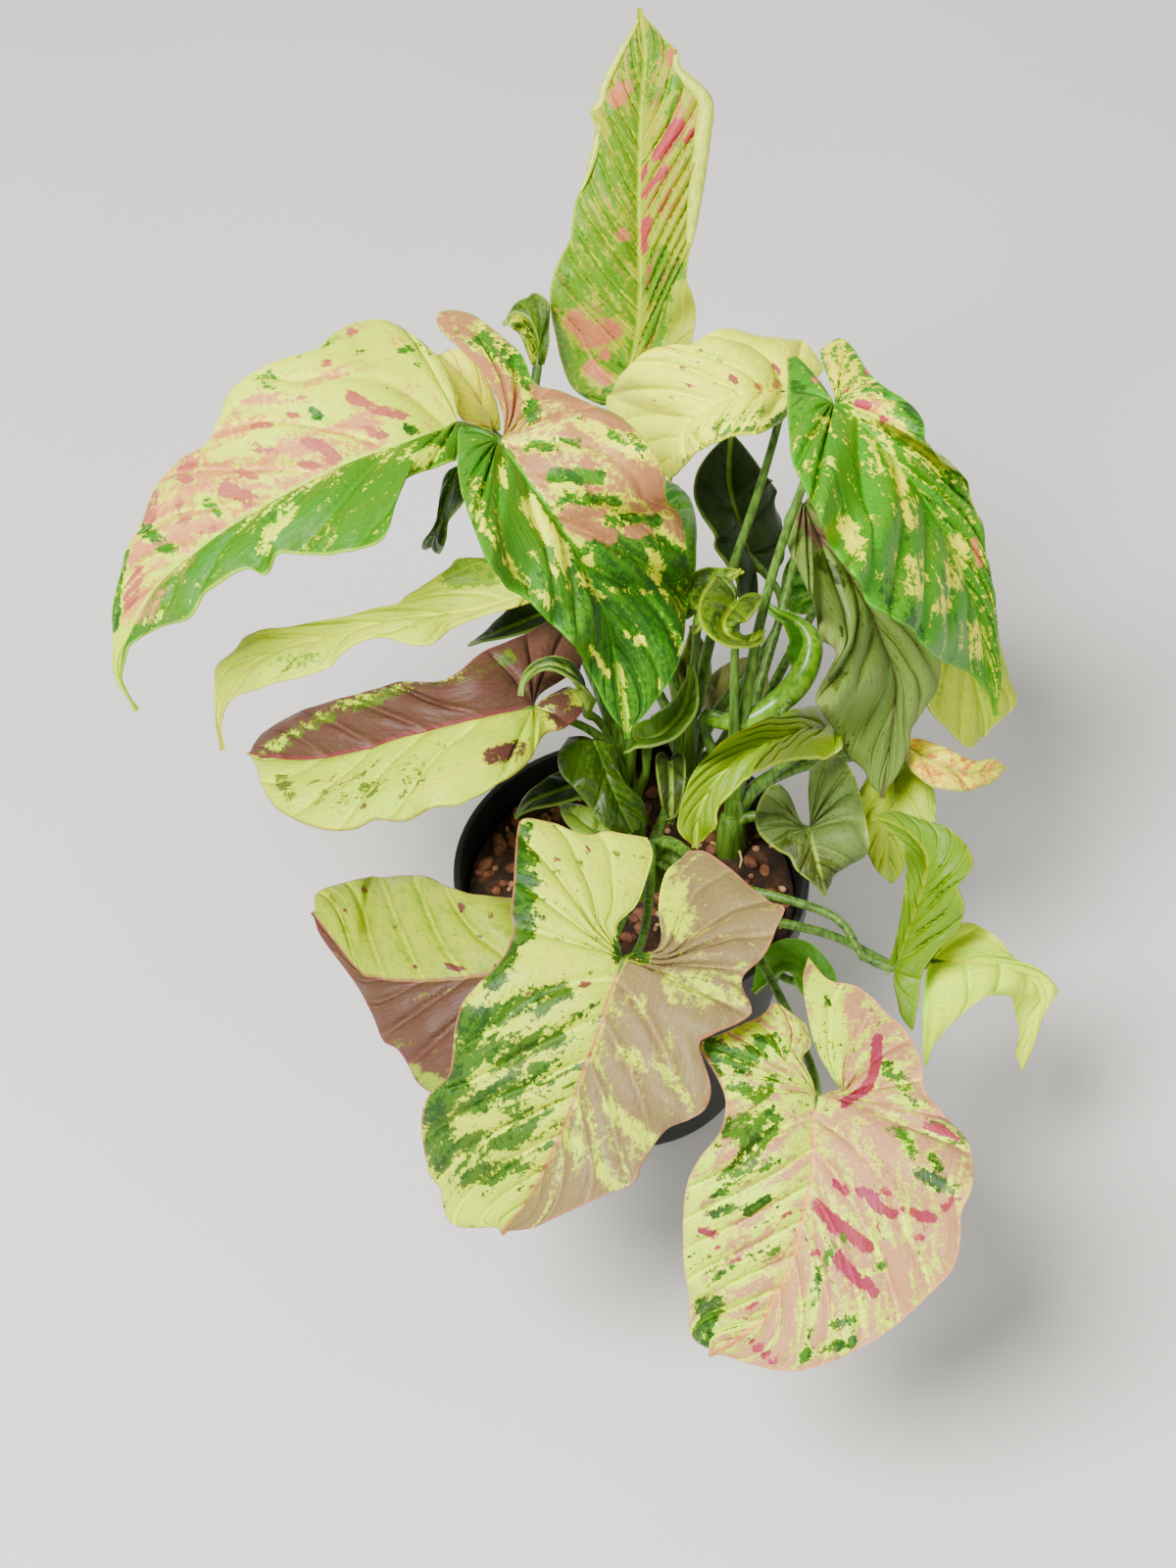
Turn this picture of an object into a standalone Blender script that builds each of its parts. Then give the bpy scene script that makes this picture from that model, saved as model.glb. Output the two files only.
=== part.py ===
"""Arrowhead plant in a nursery pot: a clump of four shoots with variegated arrow-shaped leaves.

Metres, +Z up. The origin is the middle of the pot's foot, and -Y is the front.
Each blade is laid on lines of sight from the front and above: its midrib has a height at each
point, and its margins are where lines of sight meet the half-blade's own tilted plane.
"""

import math

import bmesh
import bpy
import numpy as np
from mathutils import Matrix, Vector, noise

MM = 0.001

# Pot, a thin-walled nursery pot with a rolled rim
POT_HEIGHT = 96 * MM
POT_RIM_RADIUS = 56 * MM
POT_FOOT_RADIUS = 40 * MM
POT_WALL = 1.6 * MM
POT_RIM_BAND = 9 * MM
POT_RIM_STEP = 1.4 * MM
POT_HOLES = 6
POT_HOLE_RADIUS = 4.5 * MM
POT_HOLE_RING = 27 * MM
POT_FLOOR = 2 * MM
POT_FOOT_ROUNDING = 1.5 * MM
POT_RIM_ROUNDING = 0.7 * MM
POT_SIDES = 32

# Potting mix
SOIL_TOP = 86 * MM
SOIL_GAP = 0.35 * MM
SOIL_RELIEF = 1.8 * MM
SOIL_LUMP = 9 * MM
SOIL_EDGE_DROP = 3 * MM
SOIL_EDGE_INSET = 1.2 * MM
SOIL_RINGS = 5
SOIL_SIDES = 26

# Line of sight: the leaves' places are read along it
SIGHT_ELEVATION = math.radians(48)
SIGHT_DISTANCE = 900 * MM
SIGHT_FOCUS = 2900
SIGHT_MIDDLE = (600, 800)
SOIL_CENTRE_SEEN = (644, 907)

# Blades
BLADE_THICKNESS = 0.9 * MM
RIB_THICKNESS = 2.4 * MM
RIB_FADE = 0.55
TIP_HALF_WIDTH = 0.8 * MM
TIP_BEGINS = 0.94
MOST_SLANT = 2.3
LEAST_SLOPE = 0.001
LEAST_SLANT = 0.5
NOTCH_SLACK = math.radians(8)
STEEPEST_RIB = 0.05
CAMBER = 2 * MM
FULL_CAMBER_WIDTH = 18 * MM
LEFT_WAVE_LAG = 1.9

# Plain blade outlines, as shares of the half width
NOTCH_ANGLE = math.radians(12)
NOTCH_REACH = 0.35
SHOULDER_SPREAD = 0.95
ARROW_POWER = 2.2
LANCE_POWER = 0.7

# Joints between blades and stalks
JOINT_RADIUS = 1.5 * MM
JOINT_LENGTH = 7 * MM
JOINT_GAP = 0.3 * MM
JOINT_BELOW = 0.9 * MM
JOINT_INSIDE = 3 * MM
JOINT_SHARE = 0.08
JOINT_LEAN = (0.75, 0.66)

# Shoots
STEM_RADIUS = 5.0 * MM
STEM_TOP_RADIUS = 4.0 * MM
STEM_DEPTH = 22 * MM
STEM_RISE = 16 * MM
STEM_SIDES = 10
STALK_FOOT_RADIUS = 2.8 * MM
STALK_TOP_RADIUS = 1.5 * MM
STALK_FOOT_HEIGHT = 7 * MM
STALK_FOOT_STAGGER = 0.7 * MM
STALK_FOOT_OUT = 1.5 * MM
STALK_FIRST_RISE = 8 * MM
STALK_UPRIGHT = 0.55
STALK_ARCH = 0.35
STALK_STRAIGHT = 3.5 * MM
STALK_SIDES_RESOLUTION = 1
STALK_POINTS = 6

WELD = 0.01 * MM
SHARP_EDGE = math.radians(40)

AHEAD = Vector((0, math.cos(SIGHT_ELEVATION), -math.sin(SIGHT_ELEVATION)))
SIDEWAYS = Vector((1, 0, 0))
UPWARD = Vector((0, math.sin(SIGHT_ELEVATION), math.cos(SIGHT_ELEVATION)))
UP = Vector((0, 0, 1))


def sight_line(seen):
    """Direction from the eye through a place in the picture, not of unit length."""
    across = (seen[0] - SIGHT_MIDDLE[0]) / SIGHT_FOCUS
    above = (SIGHT_MIDDLE[1] - seen[1]) / SIGHT_FOCUS
    return AHEAD + SIDEWAYS * across + UPWARD * above


EYE = Vector((0, 0, SOIL_TOP)) - sight_line(SOIL_CENTRE_SEEN) * SIGHT_DISTANCE


def at_height(seen_x, seen_y, height_mm):
    """Where the line of sight through a place in the picture is at this height."""
    line = sight_line((seen_x, seen_y))
    return EYE + line * ((height_mm * MM - EYE.z) / line.z)


def seen_on_plane(seen, start, plane):
    """Where a line of sight meets the plane through a rib point, held near where they slant away."""
    line = sight_line(seen).normalized()
    nearest = EYE + line * (start - EYE).dot(line)
    slope = line.dot(plane)
    if abs(slope) < LEAST_SLOPE:
        return nearest
    place = EYE + line * ((start - EYE).dot(plane) / slope)
    run = (place - nearest).length
    most = (nearest - start).length * math.sqrt(MOST_SLANT**2 - 1)
    return nearest.lerp(place, most / run) if run > most else place


def split_at_lobe(margin, joint, next_on_rib):
    """The margin's points along the notch, up to the one furthest back about the joint, and on."""
    behind = Vector(joint) - Vector(next_on_rib)
    spokes = [Vector(point) - Vector(joint) for point in margin[: len(margin) // 2]]
    side = math.copysign(1, sum(behind.cross(spoke) for spoke in spokes))
    turns = [math.atan2(side * behind.cross(spoke), behind.dot(spoke)) for spoke in spokes]
    furthest = max(k for k, turn in enumerate(turns) if turn < min(turns) + NOTCH_SLACK)
    return margin[: furthest + 1], margin[furthest:]


class Path:
    """A smooth curve through points, read by its share of the length."""

    STEPS = 10

    def __init__(self, points):
        given = np.array([tuple(p) for p in points], float)
        padded = np.vstack([2 * given[0] - given[1], given, 2 * given[-1] - given[-2]])
        dense = []
        for k in range(1, len(padded) - 2):
            a, b, c, d = padded[k - 1 : k + 3]
            for step in range(self.STEPS):
                t = step / self.STEPS
                dense.append(
                    0.5 * (2 * b + (c - a) * t + (2 * a - 5 * b + 4 * c - d) * t**2
                           + (3 * b - a - 3 * c + d) * t**3)
                )
        dense.append(given[-1])
        self.dense = np.array(dense)
        runs = np.linalg.norm(np.diff(self.dense, axis=0), axis=1)
        self.length = float(runs.sum())
        self.shares = np.concatenate([[0], np.cumsum(runs)]) / max(self.length, 1e-9)

    def at(self, share):
        return Vector([np.interp(share, self.shares, column) for column in self.dense.T])

    def along(self, share, reach=0.04):
        low, high = max(0.0, share - reach), min(1.0, share + reach)
        return (self.at(high) - self.at(low)).normalized()


class Blade:
    """The middle surface of one leaf blade, by side (1 right, -1 left), row and reach from the rib."""

    def __init__(self, rib, right, left, shoot, fold, wave, lobe=0.3, shoulder=None, quilt=0.6,
                 rows=12, across=3, via=(), enters=None, behind=0):
        self.rib = Path([at_height(*p) for p in rib])
        self.margins, self.notches = {}, {}
        for side, given in ((1, right), (-1, left)):
            if isinstance(given, (int, float)):
                self.margins[side] = given * MM
            else:
                notch, margin = split_at_lobe(given, rib[0][:2], rib[1][:2])
                self.notches[side] = Path([rib[0][:2], *notch])
                self.margins[side] = Path([*margin, rib[-1][:2]])
        self.fold, self.lobe, self.shoulder = fold, lobe, shoulder or (lobe, lobe)
        self.wave, self.quilt = wave, quilt * MM
        self.rows, self.across, self.behind = rows, across, behind
        self.shoot, self.via = shoot, [at_height(*p) for p in via]
        joint = self.rib.at(0)
        if enters is None:
            ahead = self.rib.along(0.0, JOINT_SHARE)
            outward = Vector((ahead.x, ahead.y, 0)).normalized()
            enters = outward * JOINT_LEAN[0] + UP * JOINT_LEAN[1]
        self.enters = Vector(enters).normalized()
        self.under_joint = joint - self.frame(0.0)[2] * JOINT_BELOW
        self.stalk_end = self.under_joint - self.enters * (JOINT_LENGTH + JOINT_GAP)

    def frame(self, share):
        """(ahead, right-hand side, face normal) of the blade at a share of its rib."""
        ahead = self.rib.along(share)
        side = ahead.cross(UP)
        if side.length < STEEPEST_RIB:
            side = SIDEWAYS.copy()
        side.normalize()
        return ahead, side, side.cross(ahead).normalized()

    def half(self, side, row):
        """Rib point, directions ahead and out along the half-blade, and face normal at a row."""
        share = max(0.0, (row - self.lobe) / (1 - self.lobe))
        ahead, across, normal = self.frame(share)
        fold = math.radians(self.fold[0 if side > 0 else 1])
        out = across * (side * math.cos(fold)) + normal * math.sin(fold)
        return self.rib.at(share), ahead, out, normal

    def along_margin(self, side, row):
        """Share of the margin where a row ends: the lobe's rows take what lies beside the joint."""
        shoulder = self.shoulder[0 if side > 0 else 1]
        if row < self.lobe:
            return shoulder * row / self.lobe
        return shoulder + (1 - shoulder) * (row - self.lobe) / (1 - self.lobe)

    def facing(self, side, row, reach):
        """The way the blade faces there: the rib's normal, turning to the half's own off it."""
        _, ahead, out, normal = self.half(side, row)
        return normal.lerp(out.cross(ahead) * side, min(1.0, 2 * reach)).normalized()

    def row(self, side, row):
        """Rib point, margin point, normal and eyeward direction of one row of the blade."""
        start, ahead, out, normal = self.half(side, row)
        margin = self.margins[side]
        if not isinstance(margin, Path):
            end = self.plain_margin(start, ahead, out, margin, row)
        else:
            end = seen_on_plane(margin.at(self.along_margin(side, row)), start, ahead.cross(out))
            narrow = max(0.0, (row - TIP_BEGINS) / (1 - TIP_BEGINS))
            end = end.lerp(start + out * TIP_HALF_WIDTH, narrow**2)
        return start, end, normal, (EYE - end).normalized()

    def notch_bend(self, side, row, reach):
        """How far the notch's edge leaves a straight line, fading over the rows of the lobe."""
        if side not in self.notches or row >= self.lobe or reach <= 0:
            return Vector((0, 0, 0))
        start, ahead, out, _ = self.half(side, 0)
        plane = ahead.cross(out)
        edge = seen_on_plane(self.notches[side].at(reach), start, plane)
        tip = seen_on_plane(self.notches[side].at(1), start, plane)
        return (edge - start.lerp(tip, reach)) * (1 - row / self.lobe)

    def plain_margin(self, start, ahead, out, half_width, row):
        """Margin of an arrow-shaped half of this width, for a blade with none in the picture."""
        if row < self.lobe:
            turn = row / self.lobe
            angle = NOTCH_ANGLE + (math.pi / 2 - NOTCH_ANGLE) * turn
            rounding = math.sin(math.pi / 2 * min(1.0, 2 * turn))
            spread = half_width * SHOULDER_SPREAD * (NOTCH_REACH + (1 - NOTCH_REACH) * rounding)
            return start + (out * math.sin(angle) - ahead * math.cos(angle)) * spread
        share = (row - self.lobe) / (1 - self.lobe)
        if self.lobe:
            spread = SHOULDER_SPREAD * (1 - share**ARROW_POWER)
        else:
            spread = math.sin(math.pi * share**LANCE_POWER)
        return start + out * max(TIP_HALF_WIDTH, half_width * spread)

    def point(self, side, row, reach):
        """A place on the blade: reach 0 is on the rib and 1 on the margin."""
        start, end, normal, eyeward = self.row(side, row)
        width = (end - start).length
        height, count, phase = self.wave
        lag = 0 if side > 0 else LEFT_WAVE_LAG
        ripple = math.sin(2 * math.pi * (count * row + phase) + lag)
        calm_ends = math.sin(math.pi * min(1.0, max(0.0, row))) ** 0.5
        hump = 4 * reach * (1 - reach) * min(1.0, width / FULL_CAMBER_WIDTH)
        vein = -math.cos(math.pi * self.rows * row)
        place = start.lerp(end, reach) + self.notch_bend(side, row, reach)
        place += normal * hump * (CAMBER + self.quilt * vein)
        place += eyeward * (height * MM * ripple * calm_ends * reach**2)
        return place


# The shoots: where each stands on the potting mix, in mm
SHOOTS = {
    "shoot_left": (0, 22),
    "shoot_back": (18, 36),
    "shoot_right": (32, 17),
    "shoot_front": (5, -1),
}

# The leaves, shoot by shoot. rib: (picture x, picture y, height in mm) from the stalk's joint
# to the tip. right and left: the margins in the picture, from the notch at the joint round to
# the tip, on the leaf's own right and left with its face up; or a half width in mm.
# fold: how far the right and left halves are lifted, in degrees. lobe: the share of the rows that
# fan out from the joint. shoulder: the share of the right and left margins that they reach, if not
# the same. wave: the height in mm, count and start of the waves along the margins. via: places
# that the stalk goes through, and enters: its direction at the joint, where the usual arch won't do.
# behind: how far the blade's thickness is laid along the line of sight, where it curls too much
# for its underside to lie straight below it.
LEAVES = {
    "leaf_left_high": dict(
        shoot="shoot_left", fold=(18, 2), lobe=0.2, shoulder=(0.2, 0.1), wave=(2.5, 3, 0), rows=13,
        rib=[(467, 431, 216), (419, 448, 221), (355, 471, 220), (291, 503, 214), (228, 541, 204),
             (164, 592, 190), (134, 640, 176), (122, 680, 163), (141, 725, 148)],
        right=[(465, 412), (463, 391), (446, 363), (422, 341), (399, 329), (371, 327), (342, 339),
               (323, 355), (291, 365), (259, 379), (234, 400), (222, 430), (208, 455), (180, 471),
               (157, 500), (145, 532), (130, 558), (122, 586), (114, 620), (115, 650), (117, 690)],
        left=[(468, 450), (466, 468), (438, 478), (412, 490), (403, 516), (397, 538), (384, 554),
              (355, 563), (323, 566), (285, 564), (270, 586), (250, 580), (212, 602), (192, 631),
              (164, 640), (141, 652), (129, 665), (126, 700)],
    ),
    "leaf_middle_high": dict(
        shoot="shoot_left", fold=(12, 8), lobe=0.4, wave=(2, 3, 0.2), rows=14,
        rib=[(509, 450, 234), (532, 481, 234), (556, 514, 229), (581, 551, 219), (599, 585, 209),
             (616, 621, 197), (627, 667, 183), (637, 719, 169), (641, 754, 159)],
        right=[(500, 441), (484, 438), (469, 436), (467, 459), (468, 484), (475, 514), (489, 551),
               (501, 575), (520, 600), (544, 615), (562, 634), (584, 655), (602, 686), (621, 725)],
        left=[(513, 447), (512, 422), (495, 389), (474, 364), (452, 343), (445, 327), (449, 318),
              (464, 316), (483, 321), (501, 334), (520, 349), (535, 366), (541, 383), (549, 392),
              (572, 398), (593, 407), (621, 418), (639, 429), (654, 444), (666, 462), (679, 484),
              (680, 508), (694, 526), (700, 560), (705, 585), (702, 618), (697, 661), (685, 692),
              (666, 719), (648, 744)],
    ),
    "leaf_left_narrow": dict(
        shoot="shoot_left", enters=(-0.9, 0.1, 0.4), fold=(14, 6), lobe=0.2, shoulder=(0.06, 0.06),
        wave=(1.5, 3, 0.4), rows=11,
        rib=[(545, 605, 184), (480, 622, 182), (400, 632, 174), (330, 650, 163), (267, 671, 152),
             (235, 700, 141), (222, 725, 133), (228, 766, 120)],
        right=[(540, 602), (522, 590), (497, 569), (468, 569), (457, 580), (436, 594), (414, 607),
               (400, 618), (371, 624), (334, 634), (288, 640), (254, 647), (240, 663),
               (221, 679), (219, 700), (220, 735)],
        left=[(546, 612), (524, 619), (495, 627), (471, 636), (457, 642), (441, 655), (425, 658),
              (409, 654), (387, 650), (366, 654), (350, 666), (331, 682), (291, 694), (267, 701),
              (248, 707), (232, 717), (226, 740)],
    ),
    "leaf_left_rose": dict(
        shoot="shoot_left", fold=(24, 4), lobe=0.34, wave=(1.5, 3, 0.1), rows=12,
        rib=[(544, 721, 158), (495, 730, 161), (454, 740, 158), (414, 750, 153), (366, 765, 145),
             (312, 774, 136), (264, 770, 127), (254, 766, 124)],
        right=[(551, 711), (570, 700), (592, 684), (594, 669), (580, 645), (562, 634), (540, 645),
               (508, 658), (487, 669), (468, 685), (446, 695), (409, 695), (382, 703), (345, 713),
               (307, 725), (278, 741), (257, 757)],
        left=[(556, 716), (580, 700), (592, 706), (594, 725), (575, 742), (556, 748), (540, 776),
              (519, 793), (495, 808), (468, 820), (436, 825), (414, 837), (382, 837), (358, 846),
              (329, 846), (307, 839), (283, 825), (270, 808), (262, 786)],
    ),
    "leaf_left_dark": dict(
        shoot="shoot_left", fold=(15, 15), rows=6, across=2, wave=(1, 2, 0), right=8, left=7,
        rib=[(563, 622, 158), (530, 636, 160), (500, 648, 155), (478, 656, 147)],
    ),
    "leaf_left_small": dict(
        shoot="shoot_left", fold=(10, 10), rows=7, across=2, wave=(1, 2, 0.3), lobe=0.25,
        rib=[(470, 474, 184), (458, 500, 176), (448, 535, 164), (440, 560, 154)],
        right=[(465, 476), (454, 484), (449, 503), (444, 535), (432, 554), (431, 561)],
        left=[(473, 480), (474, 500), (471, 513), (457, 532), (454, 551), (447, 565)],
    ),
    "leaf_left_pale_lobe": dict(
        shoot="shoot_left", fold=(10, 10), rows=7, across=2, wave=(1, 2, 0.1), lobe=0.3,
        rib=[(503, 440, 186), (490, 410, 197), (470, 382, 205), (448, 361, 208)],
        right=[(511, 440), (510, 425), (505, 405), (493, 382), (480, 362), (462, 356)],
        left=[(497, 446), (485, 438), (470, 425), (462, 405), (452, 385), (445, 370)],
    ),
    "leaf_top": dict(
        shoot="shoot_back", fold=(4, 10), lobe=0.08, wave=(1.5, 4, 0.1), rows=14, quilt=0.9,
        enters=(0, 0.35, 0.94),
        rib=[(628, 412, 190), (640, 385, 197), (649, 350, 207), (652, 320, 215), (653, 281, 225),
             (652, 233, 237), (652, 180, 250), (654, 112, 266), (658, 60, 278), (653, 8, 289)],
        right=[(636, 408), (655, 396), (680, 382), (703, 362), (709, 323), (706, 300), (700, 282),
               (708, 233), (717, 180), (724, 135), (727, 101), (708, 80), (694, 67), (692, 53),
               (683, 44), (672, 32), (661, 19)],
        left=[(615, 414), (600, 408), (584, 396), (574, 373), (567, 345), (562, 317), (562, 292),
              (570, 267), (582, 241), (586, 210), (595, 185), (603, 157), (607, 129), (602, 114),
              (609, 104), (613, 87), (621, 70), (633, 48), (645, 29)],
    ),
    "leaf_arching": dict(
        shoot="shoot_back", enters=(0.2, 0.3, 0.93), fold=(24, -4), lobe=0.2, wave=(1, 3, 0.4),
        rows=12,
        rib=[(803, 399, 226), (766, 400, 233), (733, 410, 233), (706, 428, 228), (690, 452, 218),
             (681, 490, 203)],
        right=[(812, 393), (836, 384), (839, 374), (822, 350), (805, 346), (772, 342), (735, 336),
               (707, 350), (688, 352), (665, 356), (645, 370), (628, 392), (619, 412), (628, 432),
               (645, 452), (665, 472)],
        left=[(808, 407), (806, 420), (792, 434), (775, 442), (744, 445), (713, 460), (698, 474),
              (689, 484)],
    ),
    "leaf_back_small": dict(
        shoot="shoot_left", fold=(15, 20), rows=7, across=2, wave=(1.5, 2, 0.1), lobe=0.3,
        rib=[(548, 374, 204), (549, 348, 211), (540, 325, 216), (524, 319, 216), (512, 330, 212)],
        right=[(555, 372), (560, 350), (560, 325), (560, 308), (546, 298), (538, 303), (526, 309)],
        left=[(542, 372), (537, 358), (530, 340), (521, 332)],
    ),
    "leaf_back_inner": dict(
        shoot="shoot_back", fold=(12, 12), rows=8, wave=(1.5, 3, 0), right=20, left=19,
        rib=[(764, 566, 158), (752, 528, 172), (744, 490, 184), (746, 440, 192)],
    ),
    "leaf_back_hidden": dict(
        shoot="shoot_back", fold=(10, 10), rows=9, wave=(2, 3, 0.3), right=22, left=23,
        rib=[(645, 580, 138), (647, 545, 142), (650, 508, 129), (655, 482, 104)],
    ),
    "leaf_inner_olive": dict(
        shoot="shoot_back", fold=(10, 10), rows=6, across=2, wave=(1, 2, 0), right=7, left=7,
        rib=[(703, 708, 118), (708, 686, 126), (709, 662, 133), (706, 638, 138)],
    ),
    "leaf_inner_twist": dict(
        shoot="shoot_back", fold=(40, 25), enters=(0.05, 0.1, 0.99), rows=7, across=2,
        wave=(1, 2, 0), right=5, left=5,
        rib=[(712, 622, 172), (722, 601, 178), (738, 592, 180), (757, 581, 181)],
    ),
    "leaf_right_high": dict(
        shoot="shoot_right", enters=(0.3, 0.2, 0.93), fold=(12, 6), lobe=0.36, wave=(2, 4, 0.3),
        rows=14, behind=1,
        rib=[(852, 412, 240), (880, 432, 241), (905, 460, 237), (935, 496, 227), (962, 540, 214),
             (985, 590, 198), (1003, 650, 178), (1018, 730, 153)],
        right=[(842, 400), (828, 384), (814, 368), (803, 366), (804, 390), (803, 413), (805, 441),
               (808, 466), (820, 494), (831, 516), (845, 550), (862, 575), (878, 595), (890, 617),
               (909, 629), (932, 643), (946, 662), (965, 676), (991, 688), (1011, 712)],
        left=[(850, 402), (843, 385), (837, 366), (840, 354), (856, 345), (870, 354), (884, 376),
              (904, 396), (912, 401), (932, 415), (943, 432), (944, 449), (949, 455), (963, 471),
              (988, 491), (989, 511), (1002, 533), (1008, 572), (1015, 612), (1019, 657),
              (1022, 690)],
    ),
    "leaf_right_behind": dict(
        shoot="shoot_right", enters=(0.3, 0.5, 0.8), fold=(8, 8), lobe=0.25, wave=(2, 3, 0),
        rows=10,
        rib=[(900, 470, 168), (925, 520, 166), (955, 590, 154), (985, 660, 134), (1002, 720, 116),
             (1006, 752, 106)],
        right=[(893, 480), (890, 520), (908, 580), (930, 640), (945, 690), (948, 722), (965, 742),
               (990, 764)],
        left=[(915, 462), (948, 458), (975, 476), (985, 492), (1002, 540), (1012, 600), (1020, 650),
              (1030, 690), (1038, 711), (1033, 724), (1020, 736)],
    ),
    "leaf_right_inner": dict(
        shoot="shoot_right", enters=(0.1, 0.3, 0.95), fold=(8, 8), lobe=0.3, wave=(2, 4, 0.2),
        rows=11, behind=1,
        rib=[(820, 512, 190), (832, 540, 190), (859, 575, 183), (887, 620, 170), (901, 655, 159),
             (914, 690, 148), (912, 730, 136), (900, 815, 112)],
        right=[(812, 510), (806, 518), (800, 530), (801, 545), (808, 567), (820, 592), (831, 617),
               (836, 648), (853, 662), (854, 675), (845, 688), (836, 702), (835, 718), (852, 746),
               (863, 769), (882, 787), (890, 806)],
        left=[(830, 505), (850, 520), (880, 550), (915, 590), (940, 640), (958, 670), (958, 700),
              (941, 727), (930, 745), (927, 765), (916, 790)],
    ),
    "leaf_inner_strap": dict(
        shoot="shoot_right", fold=(30, 20), lobe=0.12, wave=(1, 3, 0), rows=10, behind=0.75,
        across=2,
        rib=[(850, 742, 126), (820, 748, 145), (785, 757, 154), (752, 776, 151), (728, 800, 144),
             (713, 830, 134), (709, 866, 120)],
        right=[(852, 730), (835, 720), (811, 724), (787, 732), (762, 742), (738, 756), (726, 768),
               (709, 785), (699, 807), (693, 829), (692, 848)],
        left=[(858, 752), (859, 764), (842, 772), (811, 774), (782, 783), (762, 795), (743, 812),
              (731, 829), (728, 846)],
    ),
    "leaf_right_small": dict(
        shoot="shoot_right", fold=(10, 10), lobe=0.5, wave=(1.5, 3, 0.2), rows=9,
        rib=[(824, 846, 114), (830, 864, 113), (836, 888, 108), (843, 914, 98)],
        right=[(814, 836), (806, 815), (796, 800), (784, 803), (773, 822), (772, 842), (781, 856),
               (794, 867), (806, 874), (813, 888), (827, 899)],
        left=[(826, 838), (824, 812), (826, 785), (842, 772), (861, 775), (875, 800), (884, 840),
              (886, 870), (870, 882), (854, 890), (848, 902)],
    ),
    "leaf_right_hanging": dict(
        shoot="shoot_right", fold=(6, 6), lobe=0.3, wave=(1.5, 3, 0.4), rows=8,
        rib=[(915, 776, 104), (914, 800, 103), (910, 830, 98), (908, 865, 89), (911, 902, 76)],
        right=[(905, 776), (890, 785), (878, 805), (870, 824), (863, 842), (875, 855), (885, 870),
               (893, 886), (903, 897)],
        left=[(925, 776), (945, 785), (953, 805), (954, 837), (940, 855), (926, 872), (923, 888),
              (916, 897)],
    ),
    "leaf_right_scroll": dict(
        shoot="shoot_right", fold=(35, 15), lobe=0.15, wave=(1, 2, 0), rows=7, across=2,
        rib=[(925, 762, 111), (955, 778, 114), (985, 788, 112), (1008, 786, 108), (1026, 781, 104)],
        right=[(920, 768), (930, 785), (955, 802), (980, 806), (1003, 801), (1017, 794)],
        left=[(924, 752), (944, 755), (967, 764), (987, 774), (1000, 776), (1012, 774)],
    ),
    "leaf_inner_loop": dict(
        shoot="shoot_right", fold=(20, 20), lobe=0, rows=7, across=2, wave=(1, 2, 0), right=3,
        left=8,
        via=[(716, 733, 137), (757, 736, 139), (790, 720, 143)], enters=(0.5, 0.75, 0.4),
        rib=[(814, 698, 150), (826, 676, 155), (826, 653, 159), (810, 633, 162), (790, 622, 164),
             (777, 607, 166)],
    ),
    "leaf_inner_white": dict(
        shoot="shoot_back", fold=(10, 10), rows=7, across=2, wave=(1, 2, 0), right=8, left=8,
        rib=[(752, 728, 112), (756, 708, 120), (764, 688, 126), (776, 668, 129)],
    ),
    "leaf_inner_glossy": dict(
        shoot="shoot_right", enters=(0, 0.2, 0.97), fold=(30, 10), rows=7, across=2, wave=(1, 2, 0),
        right=7, left=4,
        rib=[(752, 612, 188), (738, 634, 192), (745, 650, 190), (765, 655, 186), (778, 642, 183)],
    ),
    "leaf_back_right_hidden": dict(
        shoot="shoot_right", fold=(10, 10), rows=8, wave=(2, 3, 0.1), right=22, left=22,
        rib=[(862, 600, 130), (880, 568, 134), (905, 530, 122), (925, 508, 98)],
    ),
    "leaf_front_large": dict(
        shoot="shoot_front", fold=(8, 8), lobe=0.42, wave=(2, 3, 0.3), rows=14,
        rib=[(636, 980, 154), (622, 1016, 152), (608, 1060, 145), (593, 1099, 137),
             (578, 1143, 127), (558, 1187, 116), (537, 1225, 105), (510, 1258, 95)],
        right=[(632, 962), (630, 946), (649, 928), (660, 899), (666, 873), (660, 855), (637, 851),
               (619, 848), (602, 852), (584, 848), (561, 838), (537, 835), (528, 846), (524, 902),
               (521, 931), (523, 949), (514, 975), (490, 1002), (473, 1022), (464, 1049),
               (458, 1096), (438, 1116), (430, 1143), (432, 1172), (438, 1198), (449, 1213),
               (452, 1231), (464, 1250)],
        left=[(645, 974), (665, 975), (675, 961), (672, 931), (678, 896), (693, 879), (702, 868),
              (722, 870), (746, 887), (766, 905), (787, 920), (801, 927), (792, 946), (781, 972),
              (757, 999), (766, 1025), (763, 1037), (728, 1055), (713, 1066), (725, 1107),
              (719, 1131), (702, 1143), (678, 1154), (655, 1187), (646, 1207), (611, 1222),
              (567, 1242), (531, 1257)],
    ),
    "leaf_front_right": dict(
        shoot="shoot_front", fold=(8, 8), lobe=0.42, wave=(2, 4, 0), rows=14,
        rib=[(833, 1118, 140), (830, 1154, 140), (830, 1185, 137), (825, 1215, 132),
             (818, 1246, 126), (809, 1283, 118), (796, 1313, 111), (778, 1347, 102),
             (750, 1366, 96), (722, 1381, 90)],
        right=[(828, 1104), (821, 1093), (818, 1084), (827, 1069), (822, 1044), (802, 1029),
               (790, 1023), (778, 1035), (756, 1046), (732, 1056), (720, 1058), (716, 1072),
               (734, 1102), (741, 1124), (735, 1154), (714, 1182), (701, 1209), (697, 1246),
               (698, 1286), (703, 1323), (703, 1356), (711, 1375)],
        left=[(845, 1116), (857, 1114), (851, 1105), (833, 1075), (824, 1041), (819, 1001),
              (825, 977), (845, 1000), (870, 1004), (888, 1016), (903, 1032), (925, 1053),
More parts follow.
